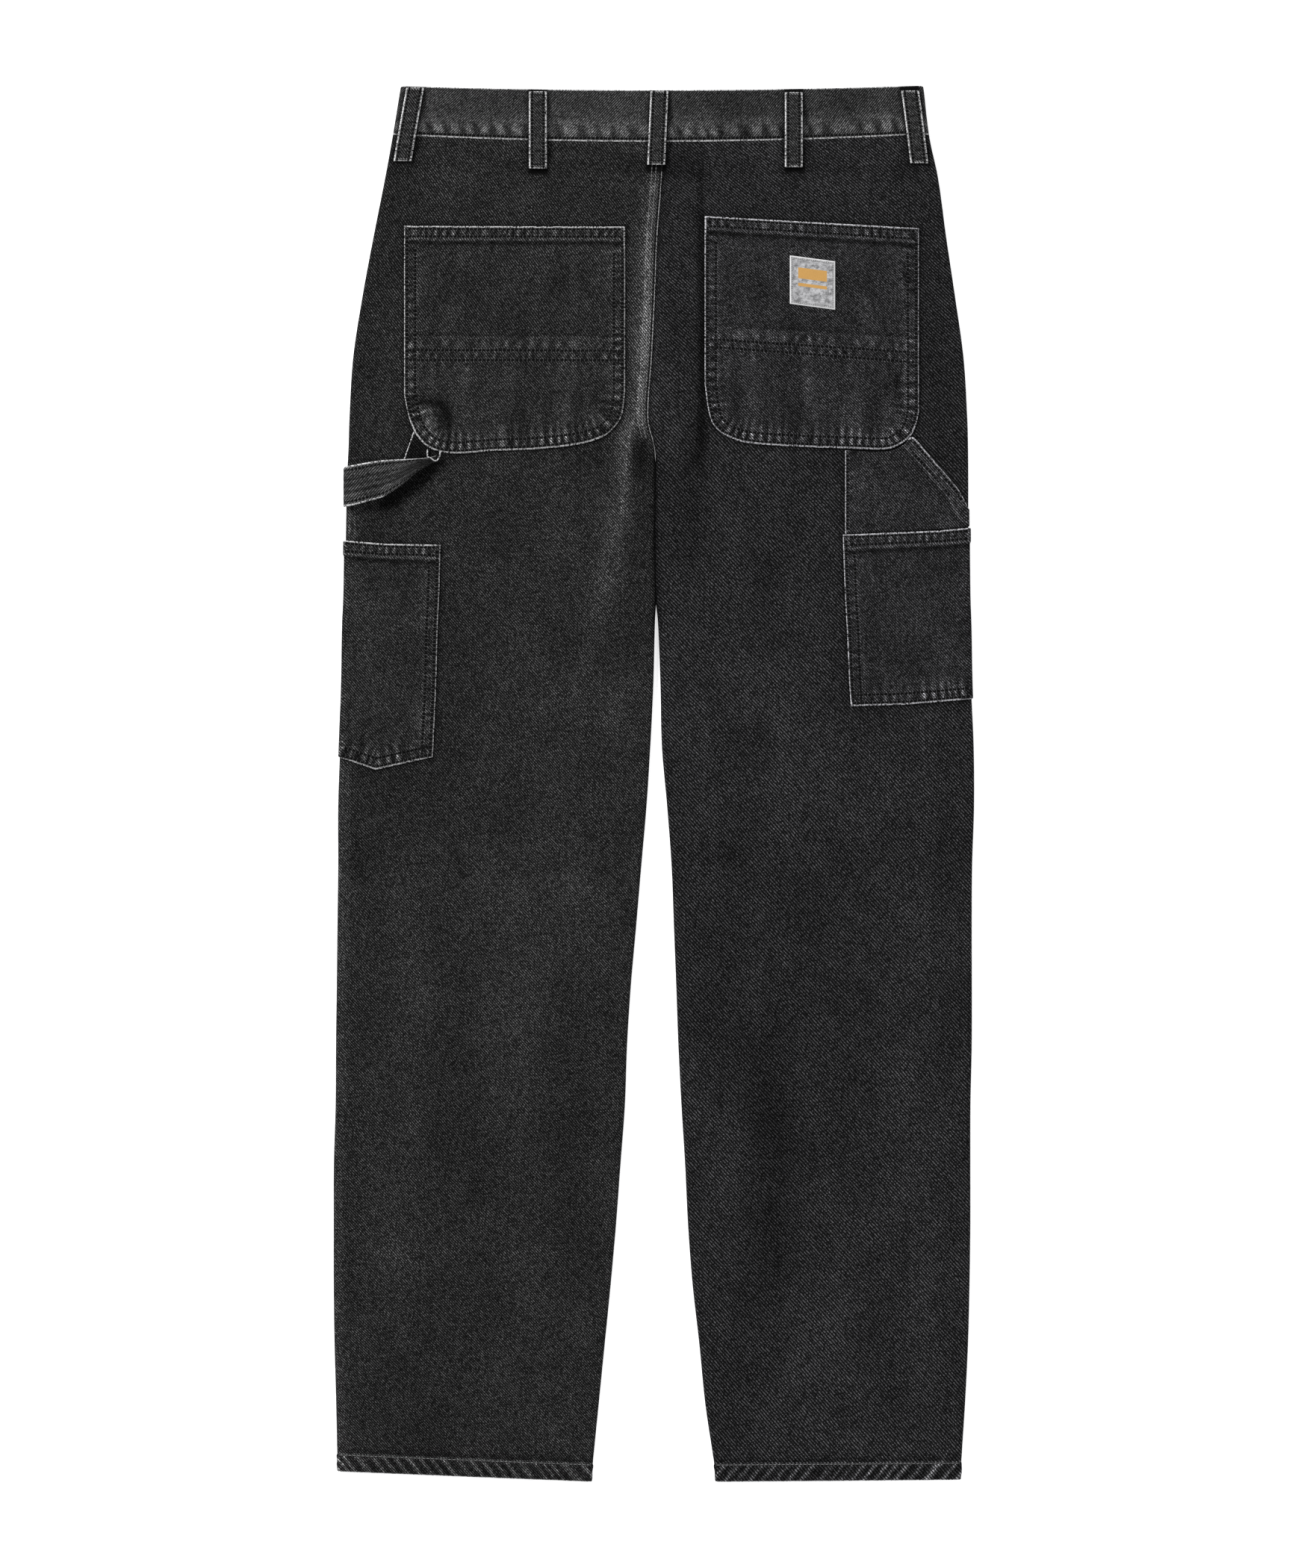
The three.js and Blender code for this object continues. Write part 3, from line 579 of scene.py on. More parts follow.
def rubbed_edge(tree, weave, edge):
    """Where a folded edge is rubbed pale, in broken crumbs."""
    crumbs = cloudy(tree, weave, (0.8, 0.8, 0), 3)
    lengths = cloudy(tree, weave, (0.12, 0.12, 0), 2)
    strength = calculate(tree, "MULTIPLY_ADD", crumbs, 2.3, 0.62)
    strength = calculate(tree, "MULTIPLY_ADD", lengths, 0.45, strength, clamp=True)
    near_edge = calculate(tree, "SQRT", slice_of(tree, edge, 0.0, 1.0))
    return calculate(tree, "MULTIPLY", near_edge, strength, clamp=True)


def stitched_with_painted_light(tree, cloth, count, from_row, pale):
    """The dark line of a row of stitches, the black thread's own colour with painted shade in its groove,
    and a painted highlight between each two stitches.
    """
    into_row = calculate(tree, "SUBTRACT", 1.0, from_row)
    in_row = calculate(tree, "DIVIDE", into_row, 0.45, clamp=True)
    from_middle = calculate(tree, "SUBTRACT", calculate(tree, "FRACT", count), 0.5)
    past_stitch = calculate(tree, "SUBTRACT", calculate(tree, "ABSOLUTE", from_middle), 0.39)
    between = calculate(tree, "MULTIPLY", past_stitch, 12.0, clamp=True)
    # Painted highlight between the stitches, on the thread's dark dashes.
    pinch_highlight = blend_colour(tree, between, grey(shade_black), pale)
    return blend_colour(tree, calculate(tree, "MULTIPLY", in_row, 0.95), cloth, pinch_highlight)


def painted_shade_beside(tree, cloth, from_lying):
    """Painted shade: cloth is darkened beside and under what lies on it, where the light hardly reaches."""
    outside = calculate(tree, "MAXIMUM", from_lying, 0.0)
    hidden = calculate(tree, "EXPONENT", calculate(tree, "MULTIPLY", outside, -0.55))
    return blend_colour(tree, calculate(tree, "MULTIPLY", hidden, 0.94), cloth, grey(shade_black))


def raise_bumps(tree, shader, height, strength, distance):
    bump = tree.nodes.new("ShaderNodeBump")
    bump.inputs["Strength"].default_value = strength
    bump.inputs["Distance"].default_value = distance
    tree.links.new(height, bump.inputs["Height"])
    tree.links.new(bump.outputs["Normal"], shader.inputs["Normal"])


# %% Denim
def denim(name, lean=1, yarn=0.53, tone=1.0, tint=(1, 1, 1), even=0.0):
    """Twill with slanted lines. lean is 1 where they fall to the right and -1 to the left.

    even runs from 0, where the wash has left pale specks, to 1, where the lines run unbroken.
    """
    material, tree, shader = new_material(name)
    weave = read_attribute(tree, "weave", "Vector")
    row = tree.nodes.new("ShaderNodeSeparateXYZ")
    tree.links.new(read_attribute(tree, "row", "Vector"), row.inputs[0])
    count, from_row, from_lying = row.outputs
    rarity = 2.2 - 1.6 * even
    pale = 0.0845 * tone / (1.6 / (rarity + 1) + 0.16)
    light, yarn_top = twill(tree, weave, lean, yarn, rarity)
    cloth = blend_colour(tree, light, grey(0.0030 * tone, tint), grey(pale, tint))
    faded_and_shaded = tree.nodes.new("ShaderNodeVectorMath")
    faded_and_shaded.operation = "SCALE"
    tree.links.new(cloth, faded_and_shaded.inputs[0])
    # The wash level also carries the painted shade and highlights set on each piece.
    fade = washed_and_shaded(tree, weave, read_attribute(tree, "wear_and_shade", "Fac"), from_row)
    tree.links.new(fade, faded_and_shaded.inputs["Scale"])
    rubbed = rubbed_edge(tree, weave, read_attribute(tree, "edge", "Fac"))
    cloth = blend_colour(tree, rubbed, faded_and_shaded.outputs[0], grey(0.62, tint))
    cloth = stitched_with_painted_light(tree, cloth, count, from_row, grey(0.06, tint))
    # Painted shade beside and under the pieces that lie on this cloth.
    tree.links.new(painted_shade_beside(tree, cloth, from_lying), shader.inputs["Base Color"])
    raise_bumps(tree, shader, yarn_top, 0.35, 0.00015)
    shader.inputs["Roughness"].default_value = 1.0
    shader.inputs["Specular IOR Level"].default_value = 0.04
    return material


cool = (0.99, 0.985, 1.025)
denim_left = denim("denim_left_leg", tone=1.04)
denim_right = denim("denim_right_leg", yarn=0.68, tone=1.0, tint=cool, even=0.5)
denim_pocket = denim("denim_pockets", yarn=0.52, tone=1.10, even=0.2)
denim_pocket_right = denim("denim_pockets_right", yarn=0.54, tone=1.12, tint=cool, even=0.2)
denim_band = denim("denim_waistband", lean=-1, yarn=0.5, tone=1.48, even=0.6)
denim_loop = denim("denim_loops", yarn=0.52, tone=1.35, even=0.7)
denim_strap = denim("denim_strap", yarn=0.6, tone=1.7, even=0.9)


# %% Sewing thread
def thread_material(name, shade):
    material, tree, shader = new_material(name)
    weave = read_attribute(tree, "weave", "Vector")
    twist = cloudy(tree, weave, (2.2, 2.2, 0), 2)
    level = calculate(tree, "MULTIPLY_ADD", twist, 0.35, 0.5, clamp=True)
    colour = blend_colour(tree, level, grey(shade * 0.45), grey(shade * 1.7))
    tree.links.new(colour, shader.inputs["Base Color"])
    shader.inputs["Roughness"].default_value = 0.7
    shader.inputs["Specular IOR Level"].default_value = 0.08
    return material


black_thread = thread_material("black_thread", 0.0028)
grey_thread = thread_material("grey_thread", 0.16)
print("materials:", len(bpy.data.materials))


# %% [markdown]
# ## Turning points into cloth
# Blender takes a mesh as a list of points and faces. Two kinds serve here. A grid suits a
# long piece such as a panel or a band. A shaped patch such as a pocket is filled with
# triangles between its border and loose points, which lie close along its edges and
# stitch rows, where the cloth bends most.


# %% Mesh helpers
def make_object(name, points, faces, material, weave, wear_and_shade, edge, row=(0, 99)):
    """A smooth mesh in metres with the four facts that the denim reads."""
    mesh = bpy.data.meshes.new(name)
    faces = faces.tolist() if isinstance(faces, np.ndarray) else faces
    mesh.from_pydata((np.asarray(points) * MM).tolist(), [], faces)
    count = len(mesh.vertices)
    for key, facts in (("weave", weave), ("row", row)):
        triples = np.full((count, 3), 99 if key == "row" else 0, np.float32)
        triples[:, :np.shape(facts)[-1]] = facts
        mesh.attributes.new(key, "FLOAT_VECTOR", "POINT").data.foreach_set("vector", triples.ravel())
    for key, values in (("wear_and_shade", wear_and_shade), ("edge", edge)):
        column = np.broadcast_to(np.asarray(values, np.float32), (count,)).copy()
        mesh.attributes.new(key, "FLOAT", "POINT").data.foreach_set("value", column)
    mesh.materials.append(material)
    mesh.shade_smooth()
    thing = bpy.data.objects.new(name, mesh)
    bpy.context.scene.collection.objects.link(thing)
    return thing


def grid_faces(rows, columns, closed=False, flip=False):
    """Four-cornered faces between neighbouring points of a grid."""
    gaps = columns if closed else columns - 1
    i, j = np.meshgrid(np.arange(rows - 1), np.arange(gaps), indexing="ij")
    i, j = i.ravel() * columns, j.ravel()
    after = (j + 1) % columns
    quads = np.stack([i + j, i + columns + j, i + columns + after, i + after], -1)
    return quads[:, ::-1] if flip else quads


def closed_faces(rows, columns):
    """Faces of a closed tube of rings, with a cap at each end."""
    first, last = list(range(columns)), [(rows - 1) * columns + k for k in range(columns)]
    return grid_faces(rows, columns, closed=True).tolist() + [first, last[::-1]]


def area_of(thing):
    return sum(face.area for face in thing.data.polygons)


def sew_in(thing, node, rests_on, flat, area, threads=(), slot="denim"):
    """Puts a piece of cloth and its threads in their place in the frame, hides its solid and prints the area
    it was cut to.
    """
    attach(thing, "root")
    for thread in threads:
        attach(thread, "root")
    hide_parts(node)
    print(thing.name, "mesh area", round(area_of(thing), 4), "cut area", area)


# %% [markdown]
# ## Stitches
# Topstitching is thick thread that comes up, lies on the cloth for about two and a half
# millimetres and goes down again. A painted dash looks flat from close by, so each stitch
# is a tiny tube with sunk ends, all made in one mesh for each piece.


# %% Thread along a path
def resample(path, pitch):
    """Points at even distances along a path."""
    path = np.asarray(path, float)
    lengths = np.r_[0, np.cumsum(np.linalg.norm(np.diff(path, axis=0), axis=1))]
    count = max(2, int(round(lengths[-1] / pitch)) + 1)
    at = np.linspace(0, lengths[-1], count)
    return np.stack([np.interp(at, lengths, column) for column in path.T], -1)


stitch_rings = [
    # place along the stitch, share of the radius, depth in the cloth
    (-0.5, 0.45, 1.3), (-0.34, 1.0, 0.25), (0.0, 1.08, 0.0), (0.34, 1.0, 0.25), (0.5, 0.45, 1.3)]


def stitch_tubes(surface, path, pitch, radius, length, rise):
    """Points and faces of the stitches along one path of a surface."""
    ends = resample(path, pitch)
    middles = (ends[:-1] + ends[1:]) / 2
    reach = 0.3
    heading = ends[1:] - ends[:-1]
    heading /= np.linalg.norm(heading, axis=1, keepdims=True)
    here, normal = surface(middles)
    ahead, _ = surface(middles + heading * reach)
    behind, _ = surface(middles - heading * reach)
    along = ahead - behind
    along /= np.linalg.norm(along, axis=1, keepdims=True)
    side = np.cross(along, normal)
    sides = 5
    turns = np.arange(sides) * 2 * math.pi / sides
    rings = []
    for share, thick, sink in stitch_rings:
        centre = here + along * share * length + normal * (rise - sink * radius)
        ring = [centre + (normal * math.cos(t) + side * math.sin(t)) * radius * thick for t in turns]
        rings.append(np.stack(ring, 1))
    points = np.stack(rings, 1)
    count, ring_count = points.shape[:2]
    starts = np.arange(count) * ring_count * sides
    quads = grid_faces(ring_count, sides, closed=True)
    faces = (quads[None] + starts[:, None, None]).reshape(-1, 4)
    return points.reshape(-1, 3), faces


def thread_piece(name, rows, material, pitch=stitch_pitch, radius=0.3, length=2.5, rise=0.12):
    """All the stitches of one piece. rows holds pairs of a surface and a path on it."""
    all_points, all_faces, start = [], [], 0
    for surface, path in rows:
        points, faces = stitch_tubes(surface, path, pitch, radius, length, rise)
        all_points.append(points)
        all_faces.append(faces + start)
        start += len(points)
    points = np.vstack(all_points)
    thing = make_object(name, points, np.vstack(all_faces), material, points[:, :2], 0, 99)
    print(name, "points", start)
    return thing


# %% Paths and distances
def distance_to(points, path, closed=False):
    """Distance from each point to a path, and how far along the path the nearest place is."""
    path = np.asarray(path, float)
    if closed:
        path = np.vstack([path, path[:1]])
    start, run = path[:-1], np.diff(path, axis=0)
    lengths = np.linalg.norm(run, axis=1)
    before = np.r_[0, np.cumsum(lengths)[:-1]]
    best, along = np.full(len(points), 1e9), np.zeros(len(points))
    for first in range(0, len(points), 2000):
        block = points[first:first + 2000]
        offset = block[:, None] - start[None]
        share = np.clip((offset * run).sum(-1) / np.maximum(lengths**2, 1e-9), 0, 1)
        gap = np.linalg.norm(offset - share[..., None] * run, axis=-1)
        nearest = gap.argmin(1)
        pick = np.arange(len(block))
        best[first:first + 2000] = gap[pick, nearest]
        along[first:first + 2000] = before[nearest] + share[pick, nearest] * lengths[nearest]
    return best, along


# %% [markdown]
# ## Places of the belt loops
# Five loops stand on the back. Cloth beside and under a loop is painted with its shade, so their places are
# set before the panels and the band that they lie on.

# %% Where the belt loops stand
loop_width, loop_wall = 14, 2.0
back_loops = [
    # name, x at the top, x at the bottom, top, bottom, seat
    ("left", -186.6, -196.6, 1.6, 59.1, 0), ("mid_left", -90.7, -90.7, 4.7, 64.9, 0),
    ("centre", 4.4, 1.8, 4.1, 62.0, fell_proud), ("mid_right", 109.4, 109.4, 5.3, 63.8, 0),
    ("right", 200.4, 207.6, 4.1, 60.8, 0)]


def beside_loops(x, down):
    """Distance to the nearest belt loop's side, below zero under a loop."""
    gaps = []
    for _, x_top, x_bottom, top, bottom, _ in back_loops:
        middle = mix(x_top, x_bottom, (down - top) / (bottom - top))
        gaps.append(np.maximum(np.abs(x - middle) - loop_width / 2, down - bottom))
    return np.min(gaps, axis=0)


print("back belt loops:", len(back_loops))

# %% [markdown]
# ## Back panels
# The two back panels are the largest pieces. Each is cut in one, wider at the seat and narrower at the hem,
# and joined in the middle by a felled seam with three rows of stitches. A simulated sheet would lose the
# outline, so the panel is a fine grid on the form of its solid, with the waves and creases added.


# %% Rows and columns of a panel
def panel_rows(spacing):
    """Distances from the waist to the hem, close together in the turned hem."""
    hem_top = garment_length - hem_height
    body = np.linspace(band_height - 5, hem_top - 3, int((hem_top - band_height) / spacing))
    hem_ups = np.r_[15.6, 14.9, 14.3, 13.7, 13.2, 12.7, 12.1, np.arange(11.2, 2, -1), 1.4, 0.9]
    return np.r_[body, garment_length - hem_ups]


roll_reach, fell_reach = 8, 20
inner_insets = np.array([
    fell_reach, 18, 16.2, 14.6, 13.2, 12, 11.1, 10.4, 9.8, 9.0, 8.2, 7.4, 6.5, 5.6, 4.7, 3.8,
    2.9, 2.2, 1.5, 0.9, 0.45, 0])


def panel_columns(leg, rows, roll_step, flat_count, tuck):
    """Distances across from the outseam, close together near both sides."""
    girth = girth_at(leg, rows)[:, None]
    outer = np.linspace(0, roll_reach, int(roll_reach / roll_step))
    outer = np.broadcast_to(outer, (len(rows), len(outer)))
    middle = mix(roll_reach, girth - fell_reach, np.linspace(0, 1, flat_count + 2)[None, 1:-1])
    columns = np.concatenate([outer, middle, girth - inner_insets[None]], 1)
    if tuck:
        extra = girth + tuck * (1 - inner_roll_at(rows))[:, None] * np.array([0.4, 1.0])
        columns = np.concatenate([columns, extra], 1)
    return columns


def panel_grid(leg, layer, spacing, roll_step, flat_count, tuck, height_of):
    """Rows of points from the waist to the hem, round its fold and back up inside."""
    rows = panel_rows(spacing)
    across = panel_columns(leg, rows, roll_step, flat_count, tuck)
    down = np.broadcast_to(rows[:, None], across.shape)
    points, _ = on_panel(leg, layer, down, across, height_of(leg, down, across))
    radius = 0.9
    last_height = height_of(leg, down[-1], across[-1])
    _, normal = on_panel(leg, layer, down[-1], across[-1], last_height)
    centre = points[-1] - normal * radius
    parts, downs, acrosses = [points], [down], [across]
    for turn in np.radians([36, 72, 108, 144, 180]):
        fold = centre + normal * radius * math.cos(turn) + np.array([0, -1, 0]) * radius * math.sin(turn)
        parts.append(fold[None])
        downs.append(np.full((1, len(across[-1])), garment_length))
        acrosses.append(across[-1:])
    for up in (4.0, 9.0, hem_height - 1.0):
        inside_down = np.full(len(across[-1]), garment_length - up)
        inside, inside_normal = on_panel(leg, layer, inside_down, across[-1], last_height * 0.6)
        parts.append((inside - inside_normal * 2 * radius)[None])
        downs.append(np.full((1, len(across[-1])), garment_length + up))
        acrosses.append(across[-1:])
    return np.concatenate(parts), np.concatenate(downs), np.concatenate(acrosses)


# %% Wear of the back cloth
# Paler washed bands and darker unwashed ones, together with painted light: a highlight along the fold beside
# the centre seam, and painted shade in the roll at the crotch, beside the right pocket's left edge and below
# the belt loops' ends.
wear_and_painted_light = [
    # x, down, angle, half length, half width, amount
    (-5, 105, 91, 60, 6, 0.50), (-6, 160, 91, 50, 7, 0.45), (-10, 225, 96, 45, 8, 0.55),
    (-17, 270, 100, 24, 6, 0.30), (-42, 405, 104, 60, 10, 0.28), (-30, 345, 98, 60, 7, 0.18),
    (-22, 290, 98, 60, 16, 0.12), (-12, 190, 92, 100, 14, 0.14),
    (35.5, 130, 90, 70, 2.8, -0.8), (37, 215, 91, 45, 3.4, -1.1), (36, 270, 92, 26, 4, -0.9),
    (30, 290, 60, 12, 6, -0.40), (-10, 289, 84, 15, 7, -1.1), (-12, 345, 92, 60, 9, -0.42),
    (28, 330, 92, 60, 14, -0.28), (8, 300, 90, 40, 5, -0.25),
    (16, 60, 0, 24, 10, -0.60), (-18, 56, 0, 18, 7, -0.40), (-200, 62, 0, 16, 9, -0.35),
    (-100, 60, 0, 30, 6, -0.25), (120, 62, 0, 30, 8, -0.35), (196, 66, 0, 14, 8, -0.35),
    (-190, 272, 60, 18, 10, -0.35), (-215, 345, 0, 40, 14, -0.18), (90, 385, 115, 50, 12, -0.20),
    (-70, 560, 80, 110, 30, 0.18), (-120, 540, 60, 60, 20, 0.10), (-190, 740, 88, 110, 14, 0.14),
    (-200, 930, 84, 60, 10, 0.14), (-90, 760, 92, 120, 26, 0.06), (-240, 900, 90, 90, 12, -0.20),
    (-226, 620, 90, 90, 12, -0.10), (-60, 700, 92, 140, 14, -0.06), (60, 640, 92, 60, 22, -0.16),
    (92, 830, 92, 110, 18, -0.40), (70, 760, 80, 60, 20, -0.14), (190, 830, 86, 150, 24, 0.16),
    (130, 980, 96, 70, 26, 0.16), (44, 590, 86, 40, 5, 0.16), (80, 700, 90, 60, 6, 0.12),
    (225, 600, 90, 100, 10, -0.12), (180, 1010, 88, 60, 20, -0.14), (200, 470, 90, 40, 20, -0.05),
]


# Paths of the painted shadow under the strap and of the painted highlight along the fold beside the seam.
strap_shadow_path = np.array([(-208, 327), (-192, 316), (-178, 304), (-167, 294)])
fold_highlight_path = np.array([(-14, 258), (-17.8, 276.7), (-22, 299.5), (-23.1, 314.7), (-24.3, 350.4), (-26, 372)])


def beside_path(x, down, path, width):
    """A soft ridge along a path on the cloth, one on the path and none far from it."""
    spots = np.stack([x.ravel(), down.ravel()], -1)
    reach = 3 * width
    near = ((spots > path.min(0) - reach) & (spots < path.max(0) + reach)).all(1)
    amount = np.zeros(len(spots))
    if near.any():
        amount[near] = ridge(distance_to(spots[near], path)[0], width)
    return amount.reshape(x.shape)


def panel_wear_and_painted_light(leg, down, across):
    """How far each place is washed paler, or left darker where it is below zero, with painted shade and
    highlights in the same level.
    """
    girth = girth_at(leg, np.minimum(down, garment_length))
    from_inner = girth - across
    x = edges_at(leg, np.minimum(down, garment_length))[0] + leg.inward * across
    u = across * leg.inward
    up = garment_length - down
    # The table adds washed bands and painted light, and the cloth is paler on the relief's crests and darker
    # in its troughs.
    amount = fold_sum(wear_and_painted_light, x, down) + 0.5 * relief(leg, down, across)
    amount = amount + 0.10 * hills(u, down, 60, 8) + 0.08 * hills(u, down, 24, 9)
    rope = stripes(u + rope_skew * up * leg.inward, rope_pitch, 6)
    in_hem = smooth((hem_height + 0.8 - up) / 1.2)
    above_hem = up - hem_height
    amount = amount + in_hem * ((0.46 if leg is left else 0.28) + 1.15 * rope)
    amount = amount + (1 - in_hem) * 0.30 * rope * ridge(above_hem - 4, 4)
    amount = amount + 1.0 * ridge(above_hem - 0.2, 0.8)
    # Painted shade just above the hem's raised top edge.
    amount = amount - 0.4 * (1 - in_hem) * ridge(above_hem - 2.6, 1.8)
    # Painted shade where the legs touch below the crotch.
    below_crotch = smooth((down - crotch_down + 8) / 12)
    shade_where_legs_touch = below_crotch * (1 - smooth((down - legs_part - 2) / 60))
    amount = amount - (1.5 * ridge(from_inner, 2.2) + 0.4 * ridge(from_inner, 5)) * shade_where_legs_touch
    # Painted shade on the right panel along the seam, under the left panel's turned edge.
    if leg is right:
        return amount - 0.8 * ridge(from_inner, 3.0) * (1 - below_crotch)
    amount = amount + 0.40 * ridge(across - 5, 5) * smooth((down - 325) / 12)
    outseam_lines = ridge(across - 4.2, 0.8) + 0.6 * ridge(across - 8.0, 0.8)
    amount = amount + 0.8 * outseam_lines * ridge(down - 342, 14)
    fell = smooth((fell_width + 1 - from_inner) / 1.5) * (1 - smooth((down - fell_end) / fell_fade + 1))
    pale_rows = sum(ridge(from_inner - at, 0.7) for at in (4.2, 6.2, 7.8, 9.4))
    amount = amount + fell * (0.30 + 0.38 * pale_rows) * (1 + 0.4 * hills(u, down, 9, 3))
    # Painted highlight along the fold beside the centre seam.
    crisp, soft = beside_path(x, down, fold_highlight_path, 1.5), beside_path(x, down, fold_highlight_path, 6)
    amount = amount + (0.5 * crisp + 0.16 * soft) * smooth((376 - down) / 60)
    # Painted shadow under the hammer loop's strap.
    return amount - 1.2 * beside_path(x, down, strap_shadow_path, 6)


def panel_edge(leg, down, across):
    """Millimetres to the nearest pale folded edge: the hem, and the fell of the left panel."""
    near = np.abs(garment_length - down) + 0.55
    if leg is right:
        return near
    from_inner = np.abs(girth_at(leg, np.minimum(down, garment_length)) - across)
    return np.minimum(near, np.where(down < crotch_down - 6, from_inner, 99))


def panel_row_facts(leg, down, across):
    """Stitch counts and distances of the nearest row, and the distance to a belt loop."""
    girth = girth_at(leg, np.minimum(down, garment_length))
    gap = np.abs(garment_length - down - hem_height + 0.4)
    hem_run = girth - 6
    count = (across - 3) / hem_run * np.round(hem_run / hem_stitch_pitch)
    if leg is left:
        seam_start = band_height + 4
        seam_gap_here = np.abs(girth - across - seam_inset)
        in_seam = (seam_gap_here < gap) & (down > seam_start) & (down < seam_rows_end)
        seam_run = seam_rows_end - seam_start
        seam_count = (down - seam_start) / seam_run * round(seam_run / stitch_pitch)
        gap = np.where(in_seam, seam_gap_here, gap)
        count = np.where(in_seam, seam_count, count)
    x = edges_at(leg, np.minimum(down, garment_length))[0] + leg.inward * (across - roll_length + roll_width)
    # The distance to a belt loop sets the painted shade beside and under it.
    loop_gap = np.where(down > band_height - 4, beside_loops(x, down), 99)
    return np.stack([count, gap, loop_gap], -1).reshape(-1, 3)


# %% Make the back panels
back_panels = {}
for leg, material, tuck in ((left, denim_left, 0), (right, denim_right, 2.6)):
    points, downs, acrosses = panel_grid(leg, "back", 2.4, 0.9, 124, tuck, back_height)
    shape = points.shape[:2]
    faces = grid_faces(*shape, flip=leg is right)
    weave = np.stack([acrosses * leg.inward, downs], -1).reshape(-1, 2)
    wear_and_shade = panel_wear_and_painted_light(leg, downs, acrosses).ravel()
    edge = panel_edge(leg, downs, acrosses).ravel()
    row = panel_row_facts(leg, downs, acrosses)
    name = f"seat_and_leg_{leg.name}"
    back_panels[leg.name] = make_object(name, points.reshape(-1, 3), faces, material, weave, wear_and_shade, edge, row)
    print(name, "grid", shape)


def back_surface(leg):
    """The back cloth's surface as the stitches need it: places from across and down."""
    def surface(places):
        across, down = places[:, 0], places[:, 1]
        return on_panel(leg, "back", down, across, back_height(leg, down, across))
    return surface


# %% Stitch rows of the back panels
def straight(start, end, step=4.0):
    """Points at about even steps from one place to another."""
    start, end = np.array(start, float), np.array(end, float)
    count = max(2, int(np.linalg.norm(end - start) / step))
    return start + (end - start) * np.linspace(0, 1, count)[:, None]


def seam_row(inset_by):
    downs = np.linspace(band_height + 4, seam_rows_end, 80)
    return back_surface(left), np.stack([girth_at(left, downs) - inset_by, downs], -1)


seam_thread = thread_piece("thread_centre_seam", [seam_row(seam_inset)], black_thread)
pale_rows = [seam_row(at) for at in pale_seam_insets]
pale_seam_thread = thread_piece("thread_centre_seam_pale", pale_rows, grey_thread, radius=0.24)

hem_threads = {}
for leg in (left, right):
    girth = float(girth_at(leg, garment_length - hem_height))
    hem_row_down = garment_length - hem_height + 0.4
    rows = [(back_surface(leg), straight((3, hem_row_down), (girth - 3, hem_row_down)))]
    hem_threads[leg.name] = thread_piece(
        f"thread_hem_{leg.name}", rows, grey_thread, pitch=hem_stitch_pitch)

# %% [markdown]
# ## Front panels
# The fronts lie on the floor under the backs and show only from below and at the sides.
# They are made the same way with a coarser grid, and kept flat where they rest.


# %% Make the front panels
def flat_height(leg, down, across):
    return np.zeros(np.broadcast(down, across).shape)


front_panels = {}
for leg, material in ((left, denim_left), (right, denim_right)):
    points, downs, acrosses = panel_grid(leg, "front", 7.0, 1.0, 40, 0, flat_height)
    shape = points.shape[:2]
    faces = grid_faces(*shape, flip=leg is left)
    weave = np.stack([acrosses * -leg.inward, downs], -1).reshape(-1, 2)
    wear_and_shade = (0.12 * hills(acrosses, downs, 60, 10)).ravel()
    front_panels[leg.name] = make_object(
        f"front_leg_{leg.name}", points.reshape(-1, 3), faces, material, weave, wear_and_shade, 99)
    print("front panel grid", shape)

# %% [markdown]
# ## Waistband
# The waistband is one straight strip, folded in half along its top and sewn on all round,
# so its section is a flat closed loop. It is swept round the waist as a ring of such
# sections. Between its lower stitches and the seam the cloth puckers.


# %% Make the waistband
def band_point(down, along):
    """The band's outer face. along runs round the waist through five stretches from 0 to 5."""
    left_edge = read_table(down_rows, left_outer, down)
    right_edge = read_table(down_rows, right_outer, down)
    centre = read_table(down_rows, left_inner, down)
    middle, rise = (band_front + band_back) / 2, (band_back - band_front) / 2
    fold_left, fold_right = left_edge + band_roll_width, right_edge - band_roll_width
    stretch = np.clip(np.floor(along), 0, 4)
    share = along - stretch
    turn = math.pi * share
    x = np.select(
        [stretch == 0, stretch == 1, stretch == 2, stretch == 3],
        [mix(centre - seam_gap / 2, fold_left, share), fold_left - band_roll_width * np.sin(turn),
         mix(fold_left, fold_right, share), fold_right + band_roll_width * np.sin(turn)],
        mix(fold_right, centre + seam_gap / 2, share))
    z = np.select(
        [stretch == 1, stretch == 2, stretch == 3],
        [middle - rise * np.cos(turn), band_back + 0 * share, middle + rise * np.cos(turn)], band_front)
    y = garment_length / 2 - down - dip_at(x, down)
    return np.stack([x + shift_x, y + shift_y, z], -1)


def band_relief(down, x, on_back):
    rows = ridge(down - band_height + 2.4, 0.7)
    waves = 0.12 * hills(x + 300, down, 34, 11) + 0.08 * hills(x + 300, down * 0.6, 11, 12)
    lower = -0.30 * pinches(x + 300 - 0.25 * down, 14, 13) * ridge(down - 31, 6)
    upper = 0.10 * puckers(x + 300, 9, 14) * ridge(down - 5, 4)
    return (waves + lower + upper - 0.22 * rows) * on_back


def band_place(down, along, inward):
    reach_d, reach_a = 0.05, 0.0005
    a = band_point(down + reach_d, along) - band_point(down - reach_d, along)
    high, low = np.minimum(along + reach_a, 5 - 1e-6), np.maximum(along - reach_a, 0)
    b = band_point(down, high) - band_point(down, low)
    normal = np.cross(a, b)
    normal /= np.linalg.norm(normal, axis=-1, keepdims=True)
    here = band_point(down, along)
    on_back = np.where(here[..., 2] > 8.0, 1.0, 0.15)
    lift = band_relief(down, here[..., 0], on_back) if inward == 0 else np.zeros(here.shape[:-1])
    return here + normal * (lift - inward)[..., None], normal


